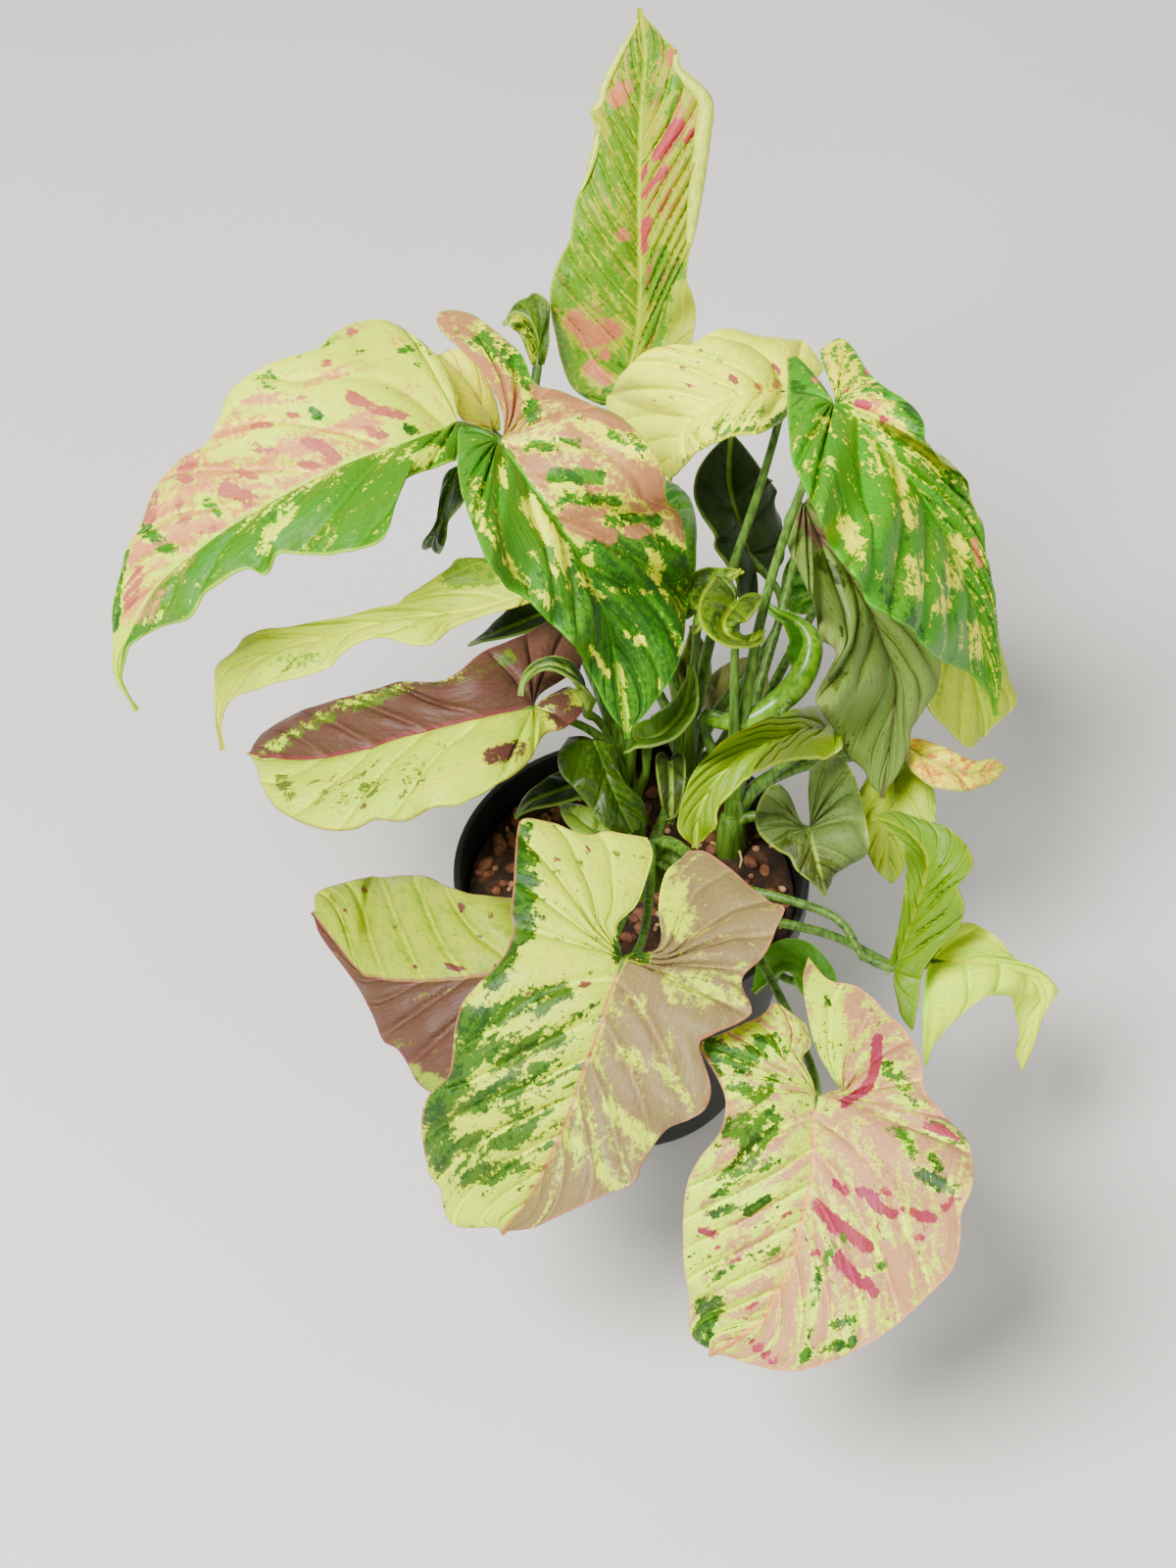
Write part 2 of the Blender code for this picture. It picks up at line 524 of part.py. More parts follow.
              (940, 1084), (943, 1111), (962, 1136), (983, 1157), (992, 1182), (992, 1212),
              (981, 1237), (980, 1264), (972, 1295), (946, 1323), (913, 1353), (879, 1375),
              (839, 1393), (802, 1399), (760, 1390), (732, 1383)],
    ),
    "leaf_front_left": dict(
        shoot="shoot_front", fold=(10, -30), lobe=0.25, wave=(1.5, 3, 0), rows=10, behind=0.4,
        rib=[(560, 985, 126), (520, 990, 130), (466, 998, 127), (438, 1000, 123), (405, 1000, 118),
             (382, 996, 114), (364, 988, 110), (318, 930, 106)],
        right=[(562, 972), (555, 930), (540, 916), (522, 916), (499, 915), (475, 911), (456, 904),
               (438, 895), (416, 892), (394, 895), (369, 895), (338, 904), (322, 912)],
        left=[(560, 998), (555, 1040), (520, 1085), (480, 1110), (445, 1116), (427, 1106),
              (418, 1090), (406, 1071), (391, 1062), (379, 1034), (369, 1014), (355, 993),
              (327, 955)],
    ),
    "leaf_right_wavy": dict(
        shoot="shoot_front", fold=(15, 10), lobe=0.2, wave=(2.5, 4, 0.2), rows=11,
        via=[(750, 905, 108), (800, 917, 109), (855, 938, 107)], enters=(0.85, -0.5, 0.1),
        rib=[(912, 990, 106), (926, 950, 118), (940, 910, 130), (945, 875, 139), (925, 848, 146),
             (890, 832, 151)],
        right=[(916, 1010), (922, 1035), (931, 1052), (936, 1026), (942, 991), (962, 963),
               (977, 950), (983, 933), (983, 920), (977, 905), (988, 892), (993, 878), (988, 865),
               (977, 852), (962, 842), (940, 836), (912, 827)],
        left=[(905, 996), (905, 985), (911, 970), (919, 933), (923, 902),
              (925, 881), (919, 863), (907, 846), (897, 838)],
    ),
    "leaf_right_low": dict(
        shoot="shoot_front", fold=(-10, 12), lobe=0.25, wave=(1.5, 3, 0), rows=11, behind=0.4,
        via=[(760, 930, 106), (850, 955, 104)],
        rib=[(950, 980, 100), (985, 980, 103), (1020, 983, 100), (1050, 996, 93), (1062, 1020, 85),
             (1052, 1060, 74), (1042, 1091, 65)],
        right=[(945, 995), (942, 1030), (941, 1065), (944, 1087), (953, 1067), (966, 1050),
               (985, 1032), (1001, 1018), (1016, 1016), (1031, 1017), (1035, 1032), (1040, 1054),
               (1036, 1075)],
        left=[(950, 972), (955, 964), (968, 957), (977, 945), (990, 941), (1005, 948),
              (1020, 959), (1037, 978), (1059, 989), (1074, 1002), (1080, 1011), (1072, 1024),
              (1064, 1039), (1053, 1070)],
    ),
    "leaf_inner_claw": dict(
        shoot="shoot_left", enters=(-0.1, -0.2, 0.97), fold=(8, 8), lobe=0.2, rows=8, behind=0.75,
        across=2,
        wave=(1.5, 3, 0),
        rib=[(606, 754, 141), (616, 780, 140), (628, 812, 133), (646, 850, 121)],
        right=[(596, 753), (580, 752), (570, 768), (573, 788), (588, 806), (603, 825), (622, 846)],
        left=[(617, 755), (628, 762), (629, 780), (637, 797), (655, 816), (662, 838)],
    ),
    "leaf_inner_hook": dict(
        shoot="shoot_left", enters=(-0.2, -0.6, 0.78), fold=(12, 16), lobe=0, rows=7, across=2,
        wave=(0.5, 2, 0), right=4, left=4,
        rib=[(600, 726, 150), (598, 705, 160), (585, 688, 168), (566, 678, 172), (548, 681, 171),
             (534, 694, 170), (531, 710, 167)],
    ),
    "leaf_inner_cup": dict(
        shoot="shoot_left", fold=(25, 45), rows=7, across=2, wave=(1, 2, 0), right=8, left=7,
        lobe=0.15, enters=(0, 0, 1),
        rib=[(658, 757, 136), (676, 748, 142), (695, 728, 147), (704, 700, 154), (705, 679, 161)],
    ),
    "leaf_inner_dark": dict(
        shoot="shoot_left", fold=(10, 10), rows=7, across=2, wave=(1, 2, 0), right=7, left=7,
        rib=[(590, 800, 122), (567, 808, 124), (542, 818, 121), (524, 833, 115)],
    ),
    "leaf_inner_low": dict(
        shoot="shoot_front", fold=(10, 10), enters=(0, 0.2, 0.95), rows=7, across=2, wave=(1, 2, 0),
        right=5, left=5,
        rib=[(684, 777, 124), (685, 798, 123), (685, 820, 118), (684, 842, 109)],
    ),
    "leaf_inner_round": dict(
        shoot="shoot_front", fold=(10, 10), rows=7, across=2, wave=(1, 2, 0), right=6, left=6,
        rib=[(613, 852, 117), (600, 842, 120), (586, 830, 120), (572, 818, 117)],
    ),
    "leaf_front_small": dict(
        shoot="shoot_front", enters=(0.4, -0.6, 0.7), fold=(35, 20), rows=7, across=2,
        wave=(1, 2, 0), right=8, left=7,
        rib=[(828, 1002, 110), (812, 982, 115), (792, 984, 114), (768, 1012, 106)],
    ),
}


# The leaves that are plain green
GREEN_LEAVES = {
    "leaf_back_hidden", "leaf_back_inner", "leaf_back_right_hidden", "leaf_back_small",
    "leaf_front_small", "leaf_inner_claw", "leaf_inner_cup", "leaf_inner_dark",
    "leaf_inner_glossy", "leaf_inner_hook", "leaf_inner_loop", "leaf_inner_low",
    "leaf_inner_olive", "leaf_inner_strap", "leaf_inner_twist", "leaf_left_dark",
    "leaf_left_small", "leaf_right_wavy",
}


def fresh_collection(name):
    made = bpy.data.collections.new(name)
    bpy.context.scene.collection.children.link(made)
    return made


def clear_scene():
    for thing in list(bpy.data.objects):
        bpy.data.objects.remove(thing, do_unlink=True)


def finish(name, red, green, blue, roughness):
    """A plain finish for one kind of piece."""
    made = bpy.data.materials.new(name)
    made.use_nodes = True
    shader = made.node_tree.nodes["Principled BSDF"]
    shader.inputs["Base Color"].default_value = (red, green, blue, 1)
    shader.inputs["Roughness"].default_value = roughness
    shader.inputs["Metallic"].default_value = 0.0
    return made


def add_object(name, mesh, collection, material=None):
    made = bpy.data.objects.new(name, mesh)
    collection.objects.link(made)
    if material:
        mesh.materials.append(material)
    return made


def mesh_from(name, bm):
    mesh = bpy.data.meshes.new(name)
    bm.to_mesh(mesh)
    bm.free()
    return mesh


def evaluated_mesh(thing):
    """The object's mesh with its modifiers applied."""
    bpy.context.view_layer.update()
    graph = bpy.context.evaluated_depsgraph_get()
    return bpy.data.meshes.new_from_object(thing.evaluated_get(graph))


def joined(base, others, collection_name):
    """The base with the others fused to it and removed, shaded smooth but for its sharp edges."""
    group = fresh_collection(collection_name)
    for other in others:
        for home in list(other.users_collection):
            home.objects.unlink(other)
        group.objects.link(other)
    fuse = base.modifiers.new("fuse", "BOOLEAN")
    fuse.operation = "UNION"
    fuse.solver = "MANIFOLD"
    fuse.operand_type = "COLLECTION"
    fuse.collection = group
    whole = evaluated_mesh(base)
    whole.shade_smooth()
    whole.set_sharp_from_angle(angle=SHARP_EDGE)
    base.modifiers.clear()
    base.data = whole
    for other in others:
        bpy.data.objects.remove(other, do_unlink=True)
    bpy.data.collections.remove(group)
    return base


def thick_blade(blade):
    """The blade as a closed body: a sheet in triangles, its copy below it, and an edge round both."""
    bm = bmesh.new()
    bmesh.ops.create_grid(bm, x_segments=2 * blade.across, y_segments=blade.rows, size=1)
    under = bm.verts.layers.float_vector.new("under")
    for vertex in bm.verts:
        side = 1 if vertex.co.x >= 0 else -1
        reach, row = abs(vertex.co.x), (vertex.co.y + 1) / 2
        vertex.co = blade.point(side, row, reach)
        on_rib = max(0.0, 1 - reach * blade.across) * (1 - RIB_FADE * row)
        depth = BLADE_THICKNESS + (RIB_THICKNESS - BLADE_THICKNESS) * on_rib
        facing = blade.facing(side, row, reach)
        away = (-facing).lerp((vertex.co - EYE).normalized(), blade.behind).normalized()
        vertex[under] = away * (depth / max(LEAST_SLANT, abs(away.dot(facing))))
    bmesh.ops.remove_doubles(bm, verts=bm.verts, dist=5 * WELD)
    bmesh.ops.triangulate(bm, faces=bm.faces, quad_method="BEAUTY")
    grown = bmesh.ops.extrude_face_region(bm, geom=bm.faces[:], use_keep_orig=True)
    for vertex in grown["geom"]:
        if isinstance(vertex, bmesh.types.BMVert):
            vertex.co += vertex[under]
    bmesh.ops.triangulate(bm, faces=bm.faces, quad_method="BEAUTY")
    bmesh.ops.recalc_face_normals(bm, faces=bm.faces)
    return bm


def tube(name, points, radii, collection):
    """A round stalk through the points, as a closed mesh."""
    curve = bpy.data.curves.new(name, "CURVE")
    curve.dimensions = "3D"
    curve.bevel_depth = 1
    curve.bevel_resolution = STALK_SIDES_RESOLUTION
    curve.use_fill_caps = True
    spline = curve.splines.new("POLY")
    spline.points.add(len(points) - 1)
    for place, point, radius in zip(spline.points, points, radii):
        place.co = (*point, 1)
        place.radius = radius
    guide = bpy.data.objects.new(name, curve)
    collection.objects.link(guide)
    bm = bmesh.new()
    bm.from_mesh(evaluated_mesh(guide))
    bmesh.ops.remove_doubles(bm, verts=bm.verts, dist=WELD)
    bpy.data.objects.remove(guide, do_unlink=True)
    return add_object(name, mesh_from(name, bm), collection)


def make_leaf(name, blade, collection, material):
    """One blade with the top of its stalk."""
    leaf = add_object(name, mesh_from(name, thick_blade(blade)), collection, material)
    inside = blade.under_joint + blade.rib.along(0.0, JOINT_SHARE) * JOINT_INSIDE
    ends = [blade.under_joint - blade.enters * length for length in (JOINT_LENGTH, 2 * MM)]
    radii = [JOINT_RADIUS, JOINT_RADIUS, JOINT_RADIUS * 0.8]
    stub = tube(name + "_joint", [*ends, inside], radii, collection)
    return joined(leaf, [stub], name + "_parts")


def stalk_path(foot, blade):
    """Points of the stalk's middle line, from inside its shoot's stem to the blade's joint.

    The last run is straight and in line with the joint, so that their ends face each other.
    """
    end = blade.stalk_end - blade.enters * STALK_STRAIGHT
    if blade.via:
        path = Path([foot, foot + UP * STALK_FIRST_RISE, *blade.via, end])
        return [path.at(k / (STALK_POINTS - 1)) for k in range(STALK_POINTS)] + [blade.stalk_end]
    span = (end - foot).length
    a, b = foot, foot + UP * STALK_UPRIGHT * span
    c, d = end - blade.enters * STALK_ARCH * span, end
    steps = []
    for step in range(STALK_POINTS):
        t = step / (STALK_POINTS - 1)
        steps.append(a * (1 - t)**3 + b * 3 * t * (1 - t)**2 + c * 3 * t**2 * (1 - t) + d * t**3)
    return [*steps, blade.stalk_end]


def make_shoot(name, place, blades, collection, material):
    """A short upright stem with the stalks of its leaves fused to it."""
    middle = Vector((place[0] * MM, place[1] * MM, SOIL_TOP))
    bm = bmesh.new()
    height = STEM_DEPTH + STEM_RISE
    bmesh.ops.create_cone(
        bm, cap_ends=True, segments=STEM_SIDES, radius1=STEM_RADIUS, radius2=STEM_TOP_RADIUS,
        depth=height, matrix=Matrix.Translation(middle + UP * (STEM_RISE - height / 2)),
    )
    stem = add_object(name, mesh_from(name, bm), collection, material)
    stalks = []
    for order, blade in enumerate(blades):
        toward = blade.stalk_end - middle
        toward.z = 0
        foot_height = STALK_FOOT_HEIGHT + order * STALK_FOOT_STAGGER
        foot = middle + toward.normalized() * STALK_FOOT_OUT + UP * foot_height
        points = stalk_path(foot, blade)
        swell = STALK_FOOT_RADIUS - STALK_TOP_RADIUS
        radii = [STALK_TOP_RADIUS + swell * (1 - k / STALK_POINTS)**2 for k in range(len(points))]
        stalks.append(tube(name + "_stalk", points, radii, collection))
    return joined(stem, stalks, name + "_parts")


def turned(name, profile, collection, material, sides=POT_SIDES):
    """A closed profile of (radius, height) turned about Z."""
    bm = bmesh.new()
    corners = [bm.verts.new((radius, 0, height)) for radius, height in profile]
    for first, second in zip(corners, corners[1:]):
        bm.edges.new((first, second))
    made = add_object(name, mesh_from(name, bm), collection, material)
    turn = made.modifiers.new("turn", "SCREW")
    turn.steps = turn.render_steps = sides
    turn.use_merge_vertices = True
    turn.merge_threshold = 0.01 * MM
    turn.use_normal_calculate = True
    return made


def cylinder(name, middle, radius, bottom, top, collection, sides=16):
    """An upright cylinder, for cutting a round hole."""
    bm = bmesh.new()
    place = Vector((middle[0], middle[1], (bottom + top) / 2))
    bmesh.ops.create_cone(bm, cap_ends=True, segments=sides, radius1=radius, radius2=radius,
                          depth=top - bottom, matrix=Matrix.Translation(place))
    made = add_object(name, mesh_from(name, bm), collection)
    made.hide_render = True
    made.display_type = "WIRE"
    return made


def cut(thing, cutters_collection):
    bore = thing.modifiers.new("holes", "BOOLEAN")
    bore.operation = "DIFFERENCE"
    bore.solver = "EXACT"
    bore.operand_type = "COLLECTION"
    bore.collection = cutters_collection


def wall_radius(height):
    """The pot's outer radius below its rim band."""
    share = height / (POT_HEIGHT - POT_RIM_BAND)
    return POT_FOOT_RADIUS + (POT_RIM_RADIUS - POT_RIM_STEP - POT_FOOT_RADIUS) * share


def make_pot(collection, material):
    """The nursery pot: a thin tapering wall, a rim band and drainage holes round the floor."""
    shoulder = POT_HEIGHT - POT_RIM_BAND
    inner_top = POT_RIM_RADIUS - POT_WALL - POT_RIM_ROUNDING
    profile = [
        (0, 0),
        (POT_FOOT_RADIUS - POT_FOOT_ROUNDING, 0),
        (POT_FOOT_RADIUS, POT_FOOT_ROUNDING),
        (wall_radius(shoulder), shoulder),
        (POT_RIM_RADIUS - POT_RIM_ROUNDING, shoulder),
        (POT_RIM_RADIUS, shoulder + POT_RIM_ROUNDING),
        (POT_RIM_RADIUS, POT_HEIGHT - POT_RIM_ROUNDING),
        (POT_RIM_RADIUS - POT_RIM_ROUNDING, POT_HEIGHT),
        (inner_top + POT_RIM_ROUNDING, POT_HEIGHT),
        (inner_top, POT_HEIGHT - POT_RIM_ROUNDING),
        (wall_radius(shoulder) - POT_WALL, shoulder - POT_RIM_ROUNDING),
        (wall_radius(POT_FLOOR) - POT_WALL, POT_FLOOR),
        (0, POT_FLOOR),
    ]
    pot = turned("pot", profile, collection, material)
    drains = fresh_collection("drain_cutters")
    drains.hide_render = True
    for k in range(POT_HOLES):
        angle = 2 * math.pi * k / POT_HOLES
        middle = (POT_HOLE_RING * math.cos(angle), POT_HOLE_RING * math.sin(angle))
        cylinder("drain", middle, POT_HOLE_RADIUS, -POT_FLOOR, 2 * POT_FLOOR, drains)
    cut(pot, drains)
    return pot


def make_soil(collection, material):
    """The potting mix: it fills the pot, with a rough top and a plain hole for each stem."""
    bottom = POT_FLOOR + SOIL_GAP
    low_radius = wall_radius(POT_FLOOR) - POT_WALL - SOIL_GAP
    top_radius = wall_radius(SOIL_TOP) - POT_WALL - SOIL_GAP
    edge = SOIL_TOP - SOIL_EDGE_DROP
    edge_radius = low_radius + (top_radius - low_radius) * (edge - bottom) / (SOIL_TOP - bottom)
    profile = [(0, bottom), (low_radius, bottom), (edge_radius, edge)]
    profile.append((top_radius - SOIL_EDGE_INSET, SOIL_TOP - SOIL_EDGE_DROP / 3))
    for ring in range(1, SOIL_RINGS + 1):
        profile.append(((top_radius - SOIL_EDGE_INSET) * (1 - ring / SOIL_RINGS), SOIL_TOP))
    soil = turned("soil", profile, collection, material, sides=SOIL_SIDES)
    soil.data = evaluated_mesh(soil)
    soil.modifiers.clear()
    for vertex in soil.data.vertices:
        if vertex.co.z > SOIL_TOP - WELD:
            place = vertex.co / SOIL_LUMP
            vertex.co.z += SOIL_RELIEF * (noise.noise(place) + 0.5 * noise.noise(2 * place))
    holes = fresh_collection("stem_cutters")
    holes.hide_render = True
    for name, place in SHOOTS.items():
        middle = (place[0] * MM, place[1] * MM)
        bottom = SOIL_TOP - STEM_DEPTH - SOIL_GAP
        cylinder(name + "_hole", middle, STEM_RADIUS + SOIL_GAP, bottom, POT_HEIGHT, holes)
    cut(soil, holes)
    return soil


def main():
    clear_scene()
    plant = fresh_collection("arrowhead_plant")
    pot_black = finish("pot_plastic", 0.02, 0.02, 0.022, 0.45)
    soil_brown = finish("potting_mix", 0.06, 0.035, 0.02, 0.95)
    stalk_green = finish("stalk", 0.12, 0.28, 0.05, 0.4)
    variegated = finish("leaf_variegated", 0.50, 0.56, 0.27, 0.45)
    green = finish("leaf_green", 0.16, 0.33, 0.06, 0.4)
    make_pot(plant, pot_black)
    make_soil(plant, soil_brown)
    blades = {name: Blade(**shape) for name, shape in LEAVES.items()}
    for name, blade in blades.items():
        make_leaf(name, blade, plant, green if name in GREEN_LEAVES else variegated)
    for name, place in SHOOTS.items():
        own = [blade for blade in blades.values() if blade.shoot == name]
        make_shoot(name, place, own, plant, stalk_green)


main()
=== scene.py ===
import math
import random

import bmesh
import bpy
import numpy as np
from mathutils import Euler, Matrix, Vector, noise


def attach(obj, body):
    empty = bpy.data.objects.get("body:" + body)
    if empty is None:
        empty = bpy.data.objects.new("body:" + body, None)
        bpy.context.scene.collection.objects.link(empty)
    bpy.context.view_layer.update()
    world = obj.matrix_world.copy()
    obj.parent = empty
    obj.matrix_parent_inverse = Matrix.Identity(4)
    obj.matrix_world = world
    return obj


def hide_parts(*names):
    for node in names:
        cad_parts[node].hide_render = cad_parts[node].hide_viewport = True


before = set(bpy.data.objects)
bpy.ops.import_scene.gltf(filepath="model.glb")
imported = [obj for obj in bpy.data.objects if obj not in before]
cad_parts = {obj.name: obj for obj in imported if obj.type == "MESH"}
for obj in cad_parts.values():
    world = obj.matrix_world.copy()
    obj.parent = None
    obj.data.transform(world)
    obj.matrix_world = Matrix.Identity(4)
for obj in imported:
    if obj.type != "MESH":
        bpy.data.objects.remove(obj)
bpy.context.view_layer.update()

MM = 0.001

# Camera and lines of sight
# The photograph looks down on the plant at about 48 degrees from 90 cm away. The leaves are laid
# on lines from its eye, so each one falls where the photograph shows it.
SIGHT_ELEVATION = math.radians(48)
SIGHT_DISTANCE, SOIL_TOP = 900 * MM, 86 * MM
# The focus, and places in the picture, in its own pixels
SIGHT_FOCUS, SIGHT_MIDDLE, PICTURE_HEIGHT = 2900, (600, 800), 1600
SOIL_CENTRE_SEEN = (644, 907)
FILM_SIZE = 36

AHEAD = Vector((0, math.cos(SIGHT_ELEVATION), -math.sin(SIGHT_ELEVATION)))
SIDEWAYS = Vector((1, 0, 0))
UPWARD = Vector((0, math.sin(SIGHT_ELEVATION), math.cos(SIGHT_ELEVATION)))
UP = Vector((0, 0, 1))


def sight_line(seen):
    """Direction from the eye through a place in the picture, not of unit length."""
    across = (seen[0] - SIGHT_MIDDLE[0]) / SIGHT_FOCUS
    above = (SIGHT_MIDDLE[1] - seen[1]) / SIGHT_FOCUS
    return AHEAD + SIDEWAYS * across + UPWARD * above


EYE = Vector((0, 0, SOIL_TOP)) - sight_line(SOIL_CENTRE_SEEN) * SIGHT_DISTANCE


def at_height(seen_x, seen_y, height_mm):
    """Where the line of sight through a place in the picture is at this height."""
    line = sight_line((seen_x, seen_y))
    return EYE + line * ((height_mm * MM - EYE.z) / line.z)


def seen_at(place):
    """Where a place falls in the picture."""
    line = place - EYE
    depth = line.dot(AHEAD)
    return (SIGHT_MIDDLE[0] + SIGHT_FOCUS * line.x / depth,
            SIGHT_MIDDLE[1] - SIGHT_FOCUS * line.dot(UPWARD) / depth)


lens = bpy.data.cameras.new("camera")
lens.sensor_width = FILM_SIZE
lens.lens = FILM_SIZE * SIGHT_FOCUS / PICTURE_HEIGHT
camera = bpy.data.objects.new("camera", lens)
bpy.context.scene.collection.objects.link(camera)
camera.location = EYE
camera.rotation_euler = (math.pi / 2 - SIGHT_ELEVATION, 0, 0)
bpy.context.scene.camera = camera

# Floor and studio light
# A plain pale floor, a large soft light high on the left, a weaker one on the right and an even
# pale surround, so that the leaves show their puckers without hard shadows.
FLOOR_SIZE = 6
FLOOR_PALE, FLOOR_GREY = "#d9d7d2", "#cfccc6"
# Each lamp's place and width in metres, and its power in watts
LAMPS = {"key_light": ((-0.75, -0.75, 1.75), 0.9, 102), "fill_light": ((1.2, -0.9, 1.2), 1.2, 12)}
LAMPS_AIM = Vector((0, 0, 0.12))
SURROUND_COLOUR, SURROUND_STRENGTH = "#efeeea", 0.6


def linear(hex_colour):
    """A colour written as in sRGB, as the numbers that a shader takes."""
    parts = [int(hex_colour[k:k + 2], 16) / 255 for k in (1, 3, 5)]
    return (*[p / 12.92 if p <= 0.04045 else ((p + 0.055) / 1.055) ** 2.4 for p in parts], 1)


# Where a Mix node of colours takes its two colours and gives their mix
MIX_A, MIX_B, MIXED = 6, 7, 2


def add_node(tree, kind, inputs=None, **settings):
    """Adds a shader node with its settings, and each input's value or the output that feeds it."""
    made = tree.nodes.new("ShaderNode" + kind)
    for name, value in settings.items():
        setattr(made, name, value)
    for place, value in (inputs or {}).items():
        if isinstance(value, bpy.types.NodeSocket):
            tree.links.new(value, made.inputs[place])
        else:
            made.inputs[place].default_value = value
    return made


def new_material(name, roughness):
    """A material with its shader's constant values set, and its tree and shader."""
    made = bpy.data.materials.new(name)
    made.use_nodes = True
    shader = made.node_tree.nodes["Principled BSDF"]
    shader.inputs["Roughness"].default_value = roughness
    return made, made.node_tree, shader


def add_piece(name, bm, *materials):
    """An object of this name from a bmesh, with its materials in order."""
    mesh = bpy.data.meshes.new(name)
    bm.to_mesh(mesh)
    bm.free()
    for material in materials:
        mesh.materials.append(material)
    made = bpy.data.objects.new(name, mesh)
    bpy.context.scene.collection.objects.link(made)
    return made


for name, (place, size, power) in LAMPS.items():
    lamp = bpy.data.lights.new(name, "AREA")
    lamp.shape, lamp.size, lamp.energy = "DISK", size, power
    stand = bpy.data.objects.new(name, lamp)
    bpy.context.scene.collection.objects.link(stand)
    stand.location = place
    stand.rotation_euler = (LAMPS_AIM - Vector(place)).to_track_quat("-Z", "Y").to_euler()

world = bpy.data.worlds.new("studio")
world.use_nodes = True
surround = world.node_tree.nodes["Background"]
surround.inputs["Color"].default_value = linear(SURROUND_COLOUR)
surround.inputs["Strength"].default_value = SURROUND_STRENGTH
bpy.context.scene.world = world

# Matt painted board: even, with a faint mottle that keeps it from looking like paper
board, tree, shader = new_material("matt painted board", 0.9)
place = add_node(tree, "TexCoord")
mottle = add_node(tree, "TexNoise", {"Vector": place.outputs["Object"], "Scale": 6, "Detail": 2})
tone = add_node(tree, "Mix", {0: mottle.outputs[0], MIX_A: linear(FLOOR_PALE),
                              MIX_B: linear(FLOOR_GREY)}, data_type="RGBA")
tree.links.new(tone.outputs[MIXED], shader.inputs["Base Color"])

bm = bmesh.new()
bmesh.ops.create_grid(bm, x_segments=1, y_segments=1, size=FLOOR_SIZE / 2)
floor = add_piece("floor", bm, board)

# Nursery pot
# A thin-walled black plastic nursery pot, injection moulded in one piece: a tapering wall, a
# stepped rim band with rounded lips and six round drainage holes in the floor.
POT_HEIGHT = 96 * MM
POT_RIM_RADIUS, POT_FOOT_RADIUS = 56 * MM, 40 * MM
POT_WALL, POT_FLOOR = 1.6 * MM, 2 * MM
POT_RIM_BAND, POT_RIM_STEP = 9 * MM, 1.4 * MM
POT_FOOT_ROUNDING, POT_RIM_ROUNDING = 1.5 * MM, 0.7 * MM
CORNER_MIDDLE = 0.3  # how far a rounding's middle lies in from either face, as a share of it
POT_HOLES, POT_HOLE_RADIUS, POT_HOLE_RING = 6, 4.5 * MM, 27 * MM
POT_STEPS, POT_HOLE_STEPS = 96, 32
WELD = 0.01 * MM
SHARP_EDGE = math.radians(35)


def wall_radius(height):
    """The pot's outer radius below its rim band."""
    share = height / (POT_HEIGHT - POT_RIM_BAND)
    return POT_FOOT_RADIUS + (POT_RIM_RADIUS - POT_RIM_STEP - POT_FOOT_RADIUS) * share


def spun(profile, steps):
    """A bmesh of the profile of (radius, height) turned about Z, closed and facing out."""
    bm = bmesh.new()
    corners = [bm.verts.new((radius, 0, height)) for radius, height in profile]
    edges = [bm.edges.new(pair) for pair in zip(corners, corners[1:])]
    bmesh.ops.spin(bm, geom=[*corners, *edges], cent=(0, 0, 0), axis=(0, 0, 1), dvec=(0, 0, 0),
                   angle=2 * math.pi, steps=steps, use_merge=True)
    bmesh.ops.remove_doubles(bm, verts=bm.verts, dist=WELD)
    bmesh.ops.recalc_face_normals(bm, faces=bm.faces)
    return bm


def smooth_shaded(piece, sharp=SHARP_EDGE):
    piece.data.shade_smooth()
    piece.data.set_sharp_from_angle(angle=sharp)


def applied(piece):
    """Puts what the piece's modifiers make into its own mesh."""
    graph = bpy.context.evaluated_depsgraph_get()
    shaped = bpy.data.meshes.new_from_object(piece.evaluated_get(graph))
    piece.modifiers.clear()
    piece.data = shaped


shoulder = POT_HEIGHT - POT_RIM_BAND
inner_top = POT_RIM_RADIUS - POT_WALL - POT_RIM_ROUNDING
rim_middle = CORNER_MIDDLE * POT_RIM_ROUNDING
pot_profile = [
    (0, 0), (POT_FOOT_RADIUS - POT_FOOT_ROUNDING, 0),
    (POT_FOOT_RADIUS - CORNER_MIDDLE * POT_FOOT_ROUNDING, CORNER_MIDDLE * POT_FOOT_ROUNDING),
    (POT_FOOT_RADIUS, POT_FOOT_ROUNDING), (wall_radius(shoulder), shoulder),
    (POT_RIM_RADIUS - POT_RIM_ROUNDING, shoulder),
    (POT_RIM_RADIUS - rim_middle, shoulder + rim_middle),
    (POT_RIM_RADIUS, shoulder + POT_RIM_ROUNDING), (POT_RIM_RADIUS, POT_HEIGHT - POT_RIM_ROUNDING),
    (POT_RIM_RADIUS - rim_middle, POT_HEIGHT - rim_middle),
    (POT_RIM_RADIUS - POT_RIM_ROUNDING, POT_HEIGHT), (inner_top + POT_RIM_ROUNDING, POT_HEIGHT),
    (inner_top + rim_middle, POT_HEIGHT - rim_middle),
    (inner_top, POT_HEIGHT - POT_RIM_ROUNDING),
    (wall_radius(shoulder) - POT_WALL, shoulder - POT_RIM_ROUNDING),
    (wall_radius(POT_FLOOR) - POT_WALL, POT_FLOOR), (0, POT_FLOOR),
]

